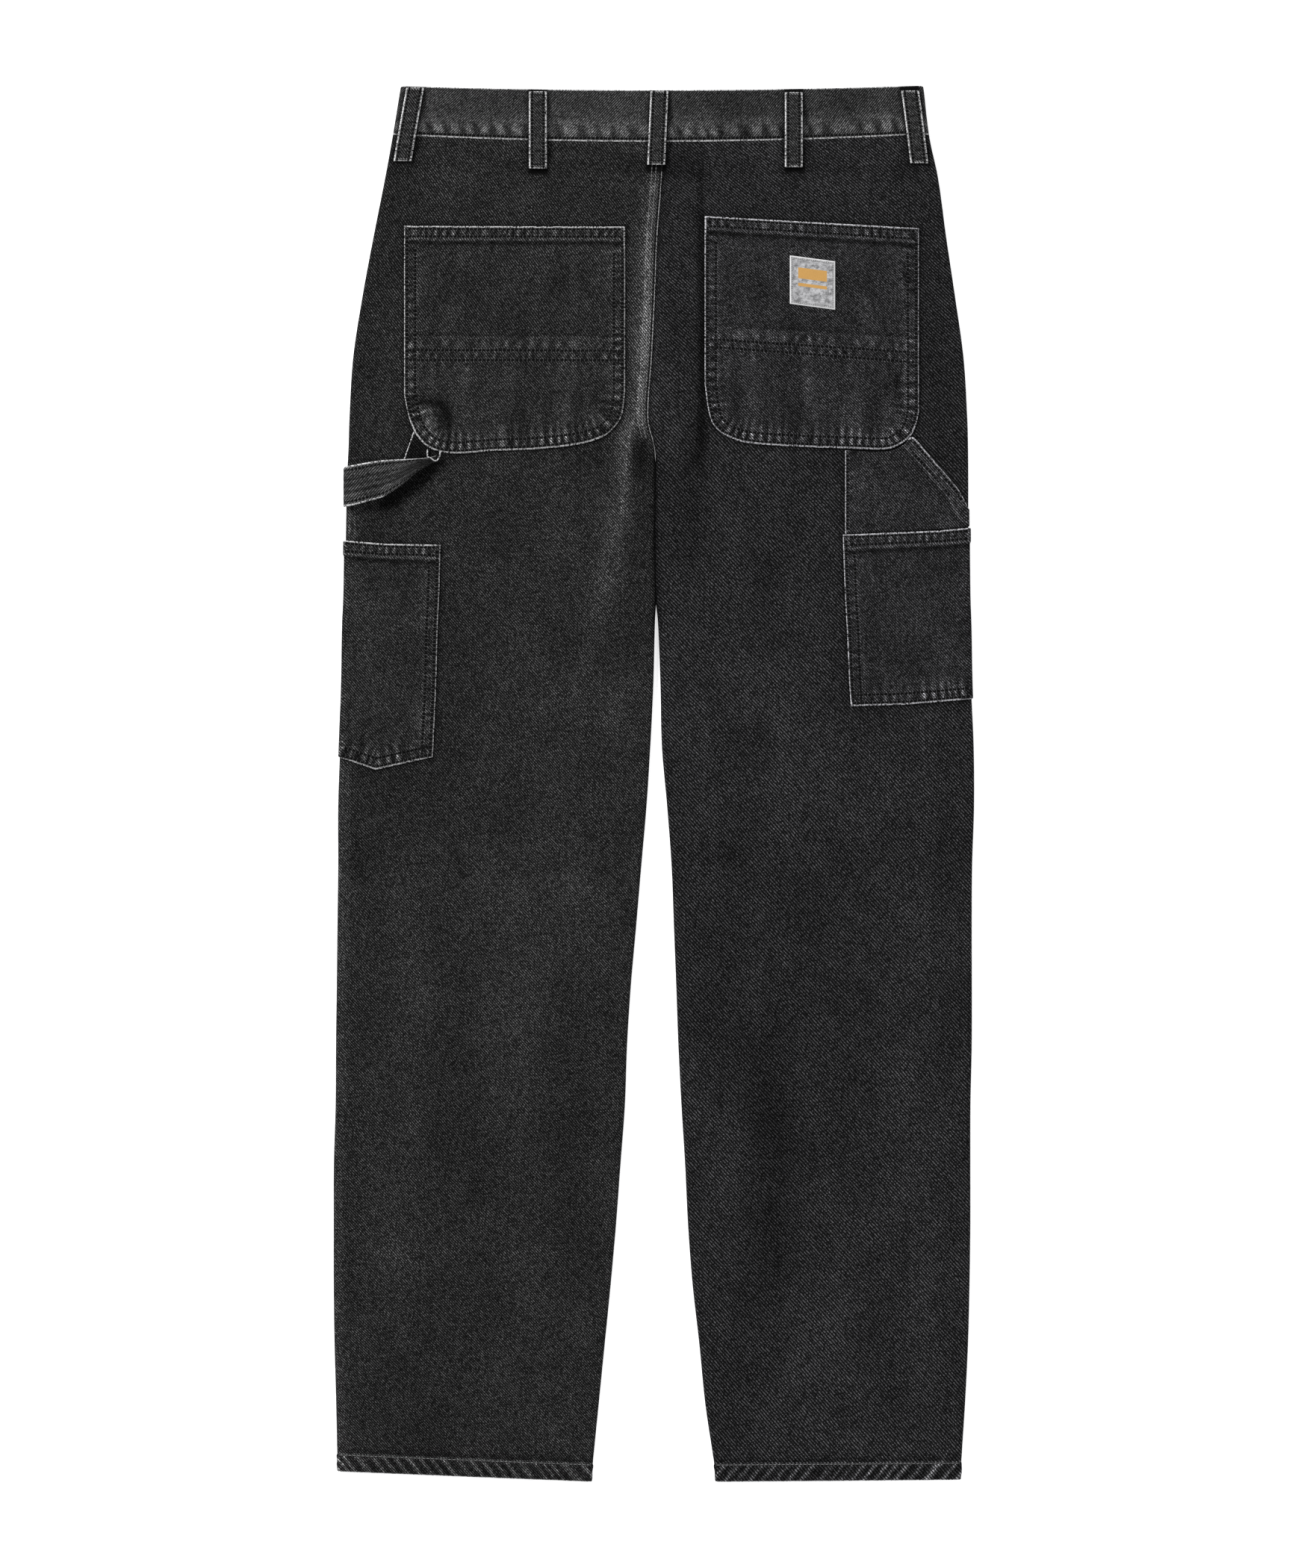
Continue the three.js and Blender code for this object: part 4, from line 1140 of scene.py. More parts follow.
stations = np.r_[
    np.linspace(0, 1, 60, endpoint=False), 1 + np.linspace(0, 1, 14, endpoint=False),
    2 + np.linspace(0, 1, 190, endpoint=False), 3 + np.linspace(0, 1, 14, endpoint=False),
    4 + np.linspace(0, 1, 60)]
stations = np.minimum(stations, 5 - 1e-6)
fold_radius = band_wall / 2
outer_downs = np.r_[38.1, 37.6, 37.1, 36.6, 36.2, 35.8, 35.3, 34.6, np.linspace(33.6, fold_radius, 30)]
band_section = [
    # down from the waist edge, depth inside the outer face, place on the flat strip
    *((down, 0.0, down) for down in outer_downs),
    *((fold_radius * (1 - math.sin(a)), fold_radius * (1 - math.cos(a)), 0.0)
      for a in np.radians([30, 60, 90, 120, 150])),
    *((down, band_wall, -down) for down in np.linspace(fold_radius, band_height - 0.8, 8)),
    *((band_height - 0.7 + 0.6 * math.sin(a), fold_radius * (1 + math.cos(a)), band_height)
      for a in np.radians([45, 90, 135]))]
section_downs = np.array([place for _, _, place in band_section])[None]
section = [band_place(np.full(len(stations), down), stations, depth)[0] for down, depth, _ in band_section]
grid = np.stack(section, 1)
band_x = grid[..., 0]
around = np.r_[0, np.cumsum(np.linalg.norm(np.diff(grid[:, 10], axis=0), axis=1))]
print("waist all round in mm:", round(float(around[-1]), 1))


# %% Wear and rows of the waistband
band_row_down = band_height - 2.4
back_width = 409.0
on_back = (grid[..., 2] > 8.0) * 1.0
# Painted shade in the pinched dents above the lower seam, with paler cloth between them.
dent_shade = -stripes(band_x + 300 - 0.25 * section_downs, 14, 13) * ridge(section_downs - 31.5, 4.8)
bent_line = section_downs - 24 - 1.5 * hills(band_x, 0, 40, 10)
soft_line = ridge(bent_line, 2.2) * (0.5 + 0.5 * hills(band_x, 7, 22, 11))
band_wear_and_shade = 0.22 * hills(band_x, 0, 30, 8) + 0.14 * hills(band_x, section_downs, 9, 9)
band_wear_and_shade = band_wear_and_shade + on_back * (1.15 * dent_shade + 0.40 * soft_line + 0.25 * ridge(section_downs - 26, 8))
band_wear_and_shade = band_wear_and_shade - on_back * 0.45 * ridge(section_downs - 36, 1.6)
band_edge = np.minimum(0.7 * np.abs(section_downs - band_height), np.abs(section_downs) + 0.6) + 0 * band_x
in_back_row = (stations[:, None] > 2) & (stations[:, None] < 3) & (section_downs > 0)
row_gap = np.where(in_back_row, np.abs(section_downs - band_row_down), 99)
row_run = back_width - 6
row_count = ((stations - 2) * back_width - 3) / row_run * round(row_run / stitch_pitch)
# The distance to a belt loop sets the painted shade beside and under it.
loop_gap = np.where(on_back > 0, beside_loops(band_x - shift_x, np.abs(section_downs)), 99)
band_rows = np.stack(np.broadcast_arrays(row_count[:, None], row_gap, loop_gap), -1).reshape(-1, 3)
weave = np.stack(np.broadcast_arrays(around[:, None], section_downs), -1).reshape(-1, 2)
waistband = make_object(
    "waistband_strip", grid.reshape(-1, 3), closed_faces(*grid.shape[:2]), denim_band, weave,
    band_wear_and_shade.ravel(), band_edge.ravel(), band_rows)


# %% Stitch rows of the waistband
def band_stitches(down):
    """Stitches are spaced in millimetres, so the path is read in lengths across the back."""
    def surface(places):
        return band_place(places[:, 1], 2 + np.clip(places[:, 0] / back_width, 0, 1), 0)
    return surface, straight((3, down), (back_width - 3, down))


band_thread = thread_piece("thread_waistband", [band_stitches(band_row_down)], black_thread)

# %% [markdown]
# ## Shaped patches on a leg
# A patch pocket is cut to shape, its edges are pressed under, its top is hemmed and two
# rows of stitches hold it down. The patch is filled with triangles from its border, with
# close points along every edge and row, and each point is then raised from the leg's cloth.


# %% Facts about paths
def row_facts(points, rows, pitch=stitch_pitch):
    """For each point the stitches counted along its nearest row, and the distance to that row."""
    facts = np.tile([0.0, 99.0], (len(points), 1))
    for row in rows:
        row = resample(row, 1.6)
        length = np.linalg.norm(np.diff(row, axis=0), axis=1).sum()
        gap, along = distance_to(points, row)
        nearer = gap < facts[:, 1]
        facts[nearer, 0] = along[nearer] / length * max(1, round(length / pitch))
        facts[nearer, 1] = gap[nearer]
    return facts


def one_long(runs):
    return runs / np.maximum(np.linalg.norm(runs, axis=1, keepdims=True), 1e-9)


def sideways(runs):
    runs = one_long(runs)
    return np.stack([-runs[:, 1], runs[:, 0]], -1)


def inset(path, distance, closed=False):
    """A path moved to its inner side, on the right hand as it is walked in across and down."""
    path = np.asarray(path, float)
    if closed:
        before, after = np.roll(path, 1, axis=0), np.roll(path, -1, axis=0)
    else:
        before, after = np.vstack([path[:1], path[:-1]]), np.vstack([path[1:], path[-1:]])
    first, second = sideways(path - before), sideways(after - path)
    if not closed:
        first[0], second[-1] = second[0], first[-1]
    middle = one_long(first + second)
    stretch = np.clip((middle * first).sum(1, keepdims=True), 0.5, 1)
    return path + middle * distance / stretch


def inside_of(points, border):
    """Which points lie inside a closed border."""
    inside = np.zeros(len(points), bool)
    for (from_u, from_v), (to_u, to_v) in zip(border, np.roll(border, -1, axis=0)):
        if from_v != to_v:
            crossed = (from_v > points[:, 1]) != (to_v > points[:, 1])
            at = from_u + (points[:, 1] - from_v) / (to_v - from_v) * (to_u - from_u)
            inside ^= crossed & (points[:, 0] < at)
    return inside


def scatter(low, high, spacing):
    """Even points in staggered rows over a rectangle."""
    v = np.arange(low[1], high[1], spacing * 0.87)
    rows_of_points = []
    for k, value in enumerate(v):
        u = np.arange(low[0] + (k % 2) * spacing / 2, high[0], spacing)
        rows_of_points.append(np.stack([u, np.full(len(u), value)], -1))
    return np.vstack(rows_of_points)


def fill_patch(border, loose, busy_reach=14.0, fine=1.35, coarse=3.0):
    """Triangles between a border and loose points inside it, small ones near edges and rows."""
    rings = [inset(border, d, closed=True) for d in (0.3, 0.75, 1.4)]
    lines = np.vstack(rings + loose)
    lines = lines[(distance_to(lines, border, closed=True)[0] > 0.22) & inside_of(lines, border)]
    low, high = border.min(0), border.max(0)
    kept = [lines]
    for spacing, near in ((fine, True), (coarse, False)):
        spots = scatter(low, high, spacing)
        spots = spots[inside_of(spots, border)]
        edge_gap = distance_to(spots, border, closed=True)[0]
        loose_gap = np.min([distance_to(spots, line)[0] for line in loose], axis=0)
        busy = (edge_gap < busy_reach) | (loose_gap < busy_reach / 2)
        kept.append(spots[(busy == near) & (edge_gap > 1.9) & (loose_gap > fine * 0.6)])
    inner = np.vstack(kept)
    count = len(border)
    loop = [(k, (k + 1) % count) for k in range(count)]
    everything = [Vector(p) for p in np.vstack([border, inner])]
    found, _, triangles, *_ = delaunay_2d_cdt(everything, loop, [], 0, 1e-3, False)
    places = np.array([(p.x, p.y) for p in found])
    triangles = np.array([list(t) for t in triangles])
    return places, triangles[inside_of(places[triangles].mean(1), border)]


# %% Make a patch on a leg
def close_points(border, spacing=1.4):
    """Even points round a closed border, with its corners kept."""
    pieces_of_border = []
    for start, end in zip(border, np.roll(border, -1, axis=0)):
        count = max(1, int(round(np.linalg.norm(end - start) / spacing)))
        pieces_of_border.append(start + (end - start) * (np.arange(count) / count)[:, None])
    return np.vstack(pieces_of_border)


def lay_on(leg, border):
    """Tells the cloth underneath how far its points are from the edge of what lies on it."""
    mesh = back_panels[leg.name].data
    columns = {}
    for key in ("weave", "row"):
        column = np.zeros(len(mesh.vertices) * 3, np.float32)
        mesh.attributes[key].data.foreach_get("vector", column)
        columns[key] = column.reshape(-1, 3)
    places = columns["weave"][:, :2] * (leg.inward, 1)
    near = ((places > border.min(0) - 8) & (places < border.max(0) + 8)).all(1)
    gap = distance_to(places[near], border, closed=True)[0]
    gap[inside_of(places[near], border)] *= -1
    # The cloth underneath takes painted shade from this distance, beside and under the patch.
    columns["row"][near, 2] = np.minimum(columns["row"][near, 2], gap)
    mesh.attributes["row"].data.foreach_set("vector", columns["row"].ravel())


def signed_area(border):
    after = np.roll(border, -1, axis=0)
    return 0.5 * (border[:, 0] * after[:, 1] - after[:, 0] * border[:, 1]).sum()


edge_lift = 0.12


def rolled_edge(gap, reach):
    """The round of an edge that is pressed under, from 0 at the edge to 1 at reach."""
    return np.sqrt(np.clip(1 - np.clip(1 - gap / reach, 0, 1) ** 2, 0, 1))


def patch(name, leg, border, rows, lines, height_of, wear_and_shade_of, edge_path, material):
    """A sewn patch: its mesh, its surface for the stitches and its cut area in square metres."""
    if signed_area(border) < 0:
        border = border[::-1]
    border = close_points(border)
    beside = []
    for row in rows:
        row = resample(row, 1.6)
        beside += [row, inset(row, 0.8), inset(row, -0.8)]
    beside += [resample(line, 1.5) for line in lines]
    for k, line in enumerate(beside):
        beside[k] = line[distance_to(line, border, closed=True)[0] > 0.5]
    beside = [line for line in beside if len(line) > 1]
    places, triangles = fill_patch(border, beside)

    def surface(spots):
        gap = distance_to(spots, border, closed=True)[0]
        rolled = rolled_edge(gap, 1.1)
        across, down = spots[:, 0], spots[:, 1]
        sunk = sum(ridge(distance_to(spots, row)[0], 0.75) for row in rows)
        own = height_of(spots) - 0.24 * sunk
        height = relief(leg, down, across) + edge_lift + (own - edge_lift) * rolled
        return on_panel(leg, "back", down, across, height)

    points, _ = surface(places)
    corner = points[triangles]
    if np.cross(corner[:, 1] - corner[:, 0], corner[:, 2] - corner[:, 0])[:, 2].mean() < 0:
        triangles = triangles[:, ::-1]
    wear_and_shade = wear_and_shade_of(places)
    low, high = border.min(0), border.max(0)
    from_sides, from_ends = np.minimum(places - low, high - places).T
    at_ends = smooth((from_sides - from_ends) / 10 + 0.5)
    edge = distance_to(places, edge_path)[0] * mix(1.3, 0.72, at_ends)
    weave = np.stack([places[:, 0] * leg.inward, places[:, 1]], -1)
    thing = make_object(name, points, triangles, material, weave, wear_and_shade, edge, row_facts(places, rows))
    lay_on(leg, border)
    return thing, surface, round(abs(signed_area(border)) * MM * MM, 4)


# %% [markdown]
# ## Back pockets
# The back pockets are large patches with rounded lower corners and a second layer inside
# their lower part, held by two more rows. The thread draws the turned edges into short
# puckers that alternate pale and dark.

# %% Outlines of the back pockets
pocket_gap = 0.3
pocket_hem = 11.4
pocket_hem_proud = 0.9
left_pocket_columns = np.array([
    # x, top, bottom
    (-195.4, 109.4, 242.2), (-191.6, 109.4, 259.7), (-186.9, 109.4, 271.4), (-179.9, 109.4, 280.2),
    (-169.9, 109.4, 285.8), (-154.1, 109.4, 287.8), (-127.2, 109.4, 285.8), (-91.6, 109.4, 284.3),
    (-57.0, 109.4, 280.2), (-39.5, 109.4, 274.4), (-30.1, 109.4, 266.2), (-24.9, 109.4, 257.4),
    (-22.5, 109.4, 239.9)])
right_pocket_columns = np.array([
    (39.8, 100.6, 233.4), (43.0, 100.9, 255.6), (47.7, 101.2, 266.8), (58.8, 101.8, 275.0),
    (74.0, 102.8, 279.6), (117.3, 105.6, 282.6), (150.0, 107.6, 283.7), (182.8, 109.7, 284.3),
    (193.3, 110.4, 280.2), (201.0, 110.9, 273.8), (205.0, 111.2, 265.6), (207.4, 111.4, 255.1)])


def rounded(path, spacing=1.4):
    """A smooth curve through the corners of an open path."""
    lengths = np.r_[0, np.cumsum(np.linalg.norm(np.diff(path, axis=0), axis=1))]
    at = np.linspace(0, lengths[-1], int(lengths[-1] / spacing))
    return np.stack([read_table(lengths, path[:, k], at) for k in (0, 1)], -1)


def on_cloth(leg, path):
    """From x and down to across and down."""
    return np.stack([across_at(leg, path[:, 1], path[:, 0]), path[:, 1]], -1)


# %% What all pockets share
def above_line(line, spots):
    """How far each place lies above a line that runs across the cloth."""
    line = line[np.argsort(line[:, 0])]
    return np.interp(spots[:, 0], line[:, 0], line[:, 1]) - spots[:, 1]


def in_hem_at(hem_drop):
    return smooth((hem_drop + 0.4) / 0.9)


def edge_draw(side, along, across, hem_drop, side_layer, hem_layer):
    """Height of the puckers along a pocket's edges and in its hem."""
    in_hem = in_hem_at(hem_drop)
    beside_rows = 0.24 * puckers(along, 7, side_layer) * ridge(side - 5.2, 3.2) * (1 - in_hem)
    return beside_rows + 0.26 * puckers(across, 6, hem_layer) * ridge(hem_drop - 6.0, 3.0) * in_hem


def edge_wear_and_shade(side, along, across, hem_drop, side_layer, hem_layer, near, echo, inner_line):
    """Pale and dark pinches along a pocket's edges and in its hem, with a pale lower hem edge and painted
    shade just below it.
    """
    in_hem = in_hem_at(hem_drop)
    body = 1 - in_hem
    drawn = pinches(along, 7.3, side_layer)
    amount = near * drawn * plateau(side - 5.4, 3.6) * body
    amount = amount + echo * np.clip(drawn, -0.3, 1) * ridge(side - 13, 6) * body
    amount = amount - 0.30 * ridge(side - 1.6, 1.0) * body + inner_line * ridge(side - 11, 1.6) * body
    hem_pinches = pinches(across, 6.4, hem_layer) * plateau(hem_drop - 5.8, 3.2)
    amount = amount + (0.10 + 1.35 * hem_pinches) * in_hem
    # Pale rubbed lower edge of the hem, and painted shade below it.
    return amount + 1.1 * ridge(hem_drop - 0.2, 0.7) - 0.9 * ridge(hem_drop + 2.2, 1.6)


def sew_down(name, surface, rows):
    """One thread mesh for all the rows of a patch."""
    return thread_piece(f"thread_{name}", [(surface, row) for row in rows], black_thread)


# %% Make the back pockets
row_inset, second_row_inset = 2.2, 8.6
hem_rows, hem_line_steps = (2.3, 8.4), (-0.5, 0.4, 1.2)


def back_pocket(name, leg, columns, double_rows, marks, material):
    top = columns[:, :2]
    bottom = rounded(columns[:, [0, 2]])
    left_side = resample(np.vstack([top[:1], bottom[:1]]), 1.4)
    right_side = resample(np.vstack([bottom[-1:], top[-1:]]), 1.4)
    sides = on_cloth(leg, np.vstack([left_side, bottom[1:-1], right_side]))
    border = np.vstack([sides, on_cloth(leg, straight(top[-1], top[0], 1.4))[1:-1]])
    turn = 1 if signed_area(border) > 0 else -1

    def across_top(drop, margin=0.0):
        return on_cloth(leg, straight(top[0] + (margin, drop), top[-1] + (-margin, drop), 1.5))

    hem_line = across_top(pocket_hem)
    first, last = 6, 14
    rows = [inset(sides, turn * row_inset)[first:-first], inset(sides, turn * second_row_inset)[last:-last]]
    rows += [across_top(drop, 3.0) for drop in hem_rows]
    rows += [on_cloth(leg, straight((x0 + 2.5, y0), (x1 - 2.5, y1), 1.5)) for x0, y0, x1, y1 in double_rows]
    patch_top = on_cloth(leg, straight(double_rows[0][:2], double_rows[0][2:], 1.5)) - (0, 9.5)
    lines = [hem_line + (0, step) for step in hem_line_steps]
    lines += [patch_top + (0, step) for step in (-1.2, 0, 1.2)]

    def height_of(spots):
        across, down = spots.T
        side, along = distance_to(spots, sides)
        hem_drop, patch_drop = above_line(hem_line, spots), above_line(patch_top, spots)
        in_hem = in_hem_at(hem_drop)
        height = pocket_gap + wall + pocket_hem_proud * in_hem + 0.30 * smooth((1.2 - patch_drop) / 2.4)
        height = height + edge_draw(side, along, across, hem_drop, 3, 5)
        height = height + 0.10 * puckers(along, 9, 4) * ridge(side - 13, 4.5) * (1 - in_hem)
        height = height + 0.18 * puckers(across, 8, 6) * ridge(patch_drop + 13, 4.5)
        return height + 0.10 * hills(across, down, 15, 7) + 0.16 * hills(across, down, 38, 8)

    def wear_and_shade_of(spots):
        across, down = spots.T
        side, along = distance_to(spots, sides)
        hem_drop, patch_drop = above_line(hem_line, spots), above_line(patch_top, spots)
        low = smooth((down - 225) / 30)
        near, echo = 0.9 + 0.6 * low, 0.25 + 0.75 * low
        amount = edge_wear_and_shade(side, along, across, hem_drop, 3, 5, near, echo, 0.26)
        amount = amount + 1.3 * pinches(across, 7.5, 6) * ridge(patch_drop + 13.5, 2.4)
        amount = amount + (0.26 + 0.75 * pinches(across, 11, 11)) * ridge(patch_drop + 4.8, 3.2)
        # Pale top edge of the inner layer, and painted shade beside its step.
        amount = amount + 0.40 * ridge(patch_drop - 0.4, 1.0) - 0.30 * ridge(patch_drop - 2.6, 1.6)
        amount = amount + 0.35 * np.clip(pinches(across, 9, 4), -0.5, 1) * ridge(patch_drop + 23, 5)
        amount = amount + 0.16 * hills(across, down, 26, 9) + 0.12 * hills(across, down, 9, 10)
        fine_streaks = hills(across, down * 0.16, 6, 12) * (1 - in_hem_at(hem_drop))
        amount = amount + (0.18 + 0.16 * low) * fine_streaks
        x = edges_at(leg, down)[0] + leg.inward * (across - roll_length + roll_width)
        # Marks listed for each pocket: pale and dark streaks, and on the left pocket the painted shade and
        # highlight of a bulge.
        return amount + fold_sum(marks, x, down)

    edge_path = np.vstack([sides, on_cloth(leg, straight(top[-1], top[0], 1.5))])
    thing, surface, area = patch(name, leg, border, rows, lines, height_of, wear_and_shade_of, edge_path, material)
    corner_tack = on_cloth(leg, np.array([top[-1] + (-2.2, 10.4), top[-1] + (-11.5, 1.8)]))
    return thing, sew_down(name, surface, rows + [corner_tack]), area


# %% The two back pockets
left_double = [(-195.0, 206.8, -22.8, 207.4), (-194.6, 214.8, -23.0, 214.8)]
right_double = [(41.0, 198.3, 206.6, 208.8), (42.0, 204.2, 206.8, 216.4)]
# The first rows are painted shade and a painted highlight of the bulge where the strap's end lies under the
# pocket; the rest are pale and dark streaks.
left_pocket_marks_and_shade = [
    # x, down, angle, half length, half width, amount
    (-177, 247.5, 4, 11, 3.0, -1.2), (-164.5, 253, 55, 8, 2.6, -1.1), (-161, 265, 84, 12, 2.0, -0.9),
    (-190, 251, 60, 5, 3, -0.8), (-175, 262, 52, 9, 4.2, 0.45), (-168.5, 258, 60, 7, 1.5, -0.5),
    (-182, 263, 62, 7, 1.6, -0.6), (-187, 268, 62, 7, 1.8, 0.5), (-166, 276, 88, 8, 1.4, -0.6),
    (-128, 150, 90, 50, 2.5, -0.14),
    (-96, 170, 90, 60, 3.0, 0.12), (-70, 150, 90, 40, 3.5, -0.12), (-148, 240, 84, 40, 4.0, 0.14),
    (-100, 245, 70, 30, 6.0, 0.14), (-46, 262, 40, 14, 3.0, 0.5), (-40, 250, 60, 10, 2.0, -0.4)]
right_marks = [
    (190, 233, 90, 9, 2.2, -1.0), (182, 236, 90, 7, 1.8, -0.8), (198, 150, 80, 10, 3.0, -0.7),
    (120, 232, 84, 26, 4.0, 0.30), (150, 250, 84, 26, 5.0, 0.20), (92, 250, 92, 30, 5.0, 0.18),
    (62, 240, 90, 30, 3.0, -0.20), (160, 262, 90, 20, 3.0, 0.35), (54, 262, 40, 12, 3.0, 0.4),
    (172, 128, 90, 12, 3.0, -0.3)]
pocket_left, pocket_left_thread, pocket_left_area = back_pocket(
    "patch_pocket_left", left, left_pocket_columns, left_double, left_pocket_marks_and_shade, denim_pocket)
pocket_right, pocket_right_thread, pocket_right_area = back_pocket(
    "patch_pocket_right", right, right_pocket_columns, right_double, right_marks, denim_pocket_right)

# %% [markdown]
# ## Pockets on the sides of the legs
# The left leg carries a long narrow utility pocket with a pointed bottom, the right leg a
# tool pocket under a second one that opens on a slant. All three run into the outseam, so
# only three of their edges are free.


# %% Make the side pockets
def side_pocket(name, leg, widths, edges, material):
    """widths holds the free side's distance from the outseam at the top and at the bottom."""
    shares, tops, bottoms = np.array(edges).T
    fine = np.unique(np.r_[np.linspace(0, 1, 41), shares])
    top_downs, bottom_downs = np.interp(fine, shares, tops), np.interp(fine, shares, bottoms)

    def edge_line(downs):
        fall = np.clip((downs - top_downs) / (bottom_downs - top_downs), 0, 1)
        return np.stack([mix(0.2, mix(*widths, fall), fine), downs], -1)

    top_line, bottom_line = edge_line(top_downs), edge_line(bottom_downs)
    border = np.vstack([top_line, bottom_line[::-1]])
    sides = np.vstack([straight(top_line[-1], bottom_line[-1], 1.4), bottom_line[::-1][1:]])
    turn = 1 if signed_area(border) > 0 else -1
    hem_line = edge_line(top_downs + pocket_hem)

    def within(line):
        return line[(line[:, 0] > 1.5) & (line[:, 0] < widths[0] - 3)]

    rows = [inset(sides, turn * row_inset)[3:-1], inset(sides, turn * second_row_inset)[9:-1]]
    rows += [within(edge_line(top_downs + drop)) for drop in hem_rows]
    lines = [within(hem_line + (0, step)) for step in hem_line_steps]

    def height_of(spots):
        across, down = spots.T
        side, along = distance_to(spots, sides)
        hem_drop = above_line(hem_line, spots)
        draw = edge_draw(side, along, across, hem_drop, 6, 7)
        draw = draw + 0.10 * hills(across, down, 13, 7) + 0.14 * hills(across, down, 34, 8)
        return pocket_gap + wall + pocket_hem_proud * in_hem_at(hem_drop) + draw * smooth(across / 8)

    def wear_and_shade_of(spots):
        across, down = spots.T
        side, along = distance_to(spots, sides)
        hem_drop = above_line(hem_line, spots)
        low = smooth((down - bottom_line[:, 1].min() + 24) / 14)
        near, echo = 0.8 + 0.7 * low, 0.2 + 0.7 * low
        amount = edge_wear_and_shade(side, along, across, hem_drop, 6, 7, near, echo, 0.22)
        amount = amount + 0.14 * hills(across, down * 0.16, 6, 12) * (1 - in_hem_at(hem_drop))
        return amount + 0.12 * hills(across, down, 26, 9) + 0.12 * hills(across, down, 9, 10)

    edge_path = np.vstack([top_line, sides])
    thing, surface, area = patch(name, leg, border, rows, lines, height_of, wear_and_shade_of, edge_path, material)
    corner = top_line[-1]
    corner_tack = np.array([corner + (-11.5, 10.2), corner + (-1.8, 1.6)])
    return thing, sew_down(name, surface, rows + [corner_tack]), area


# share of the width from the outseam, top and bottom
utility_edges = [(0, 355.7, 525.3), (0.4, 358.2, 535.3), (1, 359.2, 525.3)]
tool_edges = [(0, 345.7, 479.7), (0.25, 348.1, 482.0), (0.57, 349.4, 484.4), (1, 351.3, 485.6)]
utility, utility_thread, utility_area = side_pocket(
    "long_side_pocket", left, (75.6, 74.2), utility_edges, denim_pocket)
tool_lower, tool_lower_thread, tool_lower_area = side_pocket(
    "tool_side_pocket", right, (99.6, 96.2), tool_edges, denim_pocket_right)


# %% Make the slanted pocket
opening_start_x = 202


def slanted_pocket(name, leg, columns, material):
    top = rounded(columns[:, :2])
    bottom = resample(columns[:, [0, 2]], 1.4)
    border = on_cloth(leg, np.vstack([top, bottom[::-1]]))
    upright = on_cloth(leg, straight(columns[0, :2], columns[0, [0, 2]], 1.4))
    opening = on_cloth(leg, top[top[:, 0] > opening_start_x])
    turn = 1 if signed_area(border) > 0 else -1
    rows = [inset(opening, turn * 2.4)[2:-6], inset(opening, turn * 8.4)[3:-12]]
    rows += [inset(upright, -turn * 2.0)[2:-2]]

    def height_of(spots):
        across, down = spots.T
        from_opening, along = distance_to(spots, opening)
        draw = 0.16 * puckers(along, 7, 8) * ridge(from_opening - 5.2, 3.2)
        return pocket_gap + wall + (draw + 0.10 * hills(across, down, 13, 9)) * smooth(across / 8)

    def wear_and_shade_of(spots):
        across, down = spots.T
        from_opening, along = distance_to(spots, opening)
        amount = 0.7 * pinches(along, 7.3, 8) * plateau(from_opening - 4.6, 3.2)
        amount = amount + 0.30 * plateau(from_opening - 4.6, 4.6)
        amount = amount + 0.9 * ridge(from_opening - 10.2, 0.9) - 0.5 * ridge(from_opening - 12.4, 1.4)
        from_upright = distance_to(spots, upright)[0]
        amount = amount + 0.5 * pinches(down, 7.3, 3) * plateau(from_upright - 4.6, 3.2)
        return amount + 0.16 * hills(across, down, 22, 11) + 0.14 * hills(across, down * 0.2, 6, 12)

    edge_path = np.vstack([upright[::-1], opening])
    thing, surface, area = patch(name, leg, border, rows, [], height_of, wear_and_shade_of, edge_path, material)
    return thing, sew_down(name, surface, rows), area


slanted_columns = np.array([
    # x, top, bottom
    (149.6, 285.3, 350.7), (182.8, 286.0, 349.2), (195.1, 281.0, 348.6), (201.8, 274.6, 348.2),
    (213.8, 287.0, 347.6), (222.6, 297.2, 347.1), (231.5, 307.4, 346.6), (237.9, 315.2, 346.1),
    (243.0, 324.0, 345.6), (246.1, 331.5, 344.9)])
tool_upper, tool_upper_thread, tool_upper_area = slanted_pocket(
    "slanted_tool_pocket", right, slanted_columns, denim_pocket_right)

# %% [markdown]
# ## Ribbons: belt loops and the hammer loop
# A belt loop is a strip folded to three layers and held by a row along each side. It lies
# on the band at both ends and arches over it between them. Such a ribbon is a flat closed
# section with rounded edges, swept along its path.


# %% Sweep a ribbon
loop_row_start, loop_stitch_pitch = 2.5, 3.0


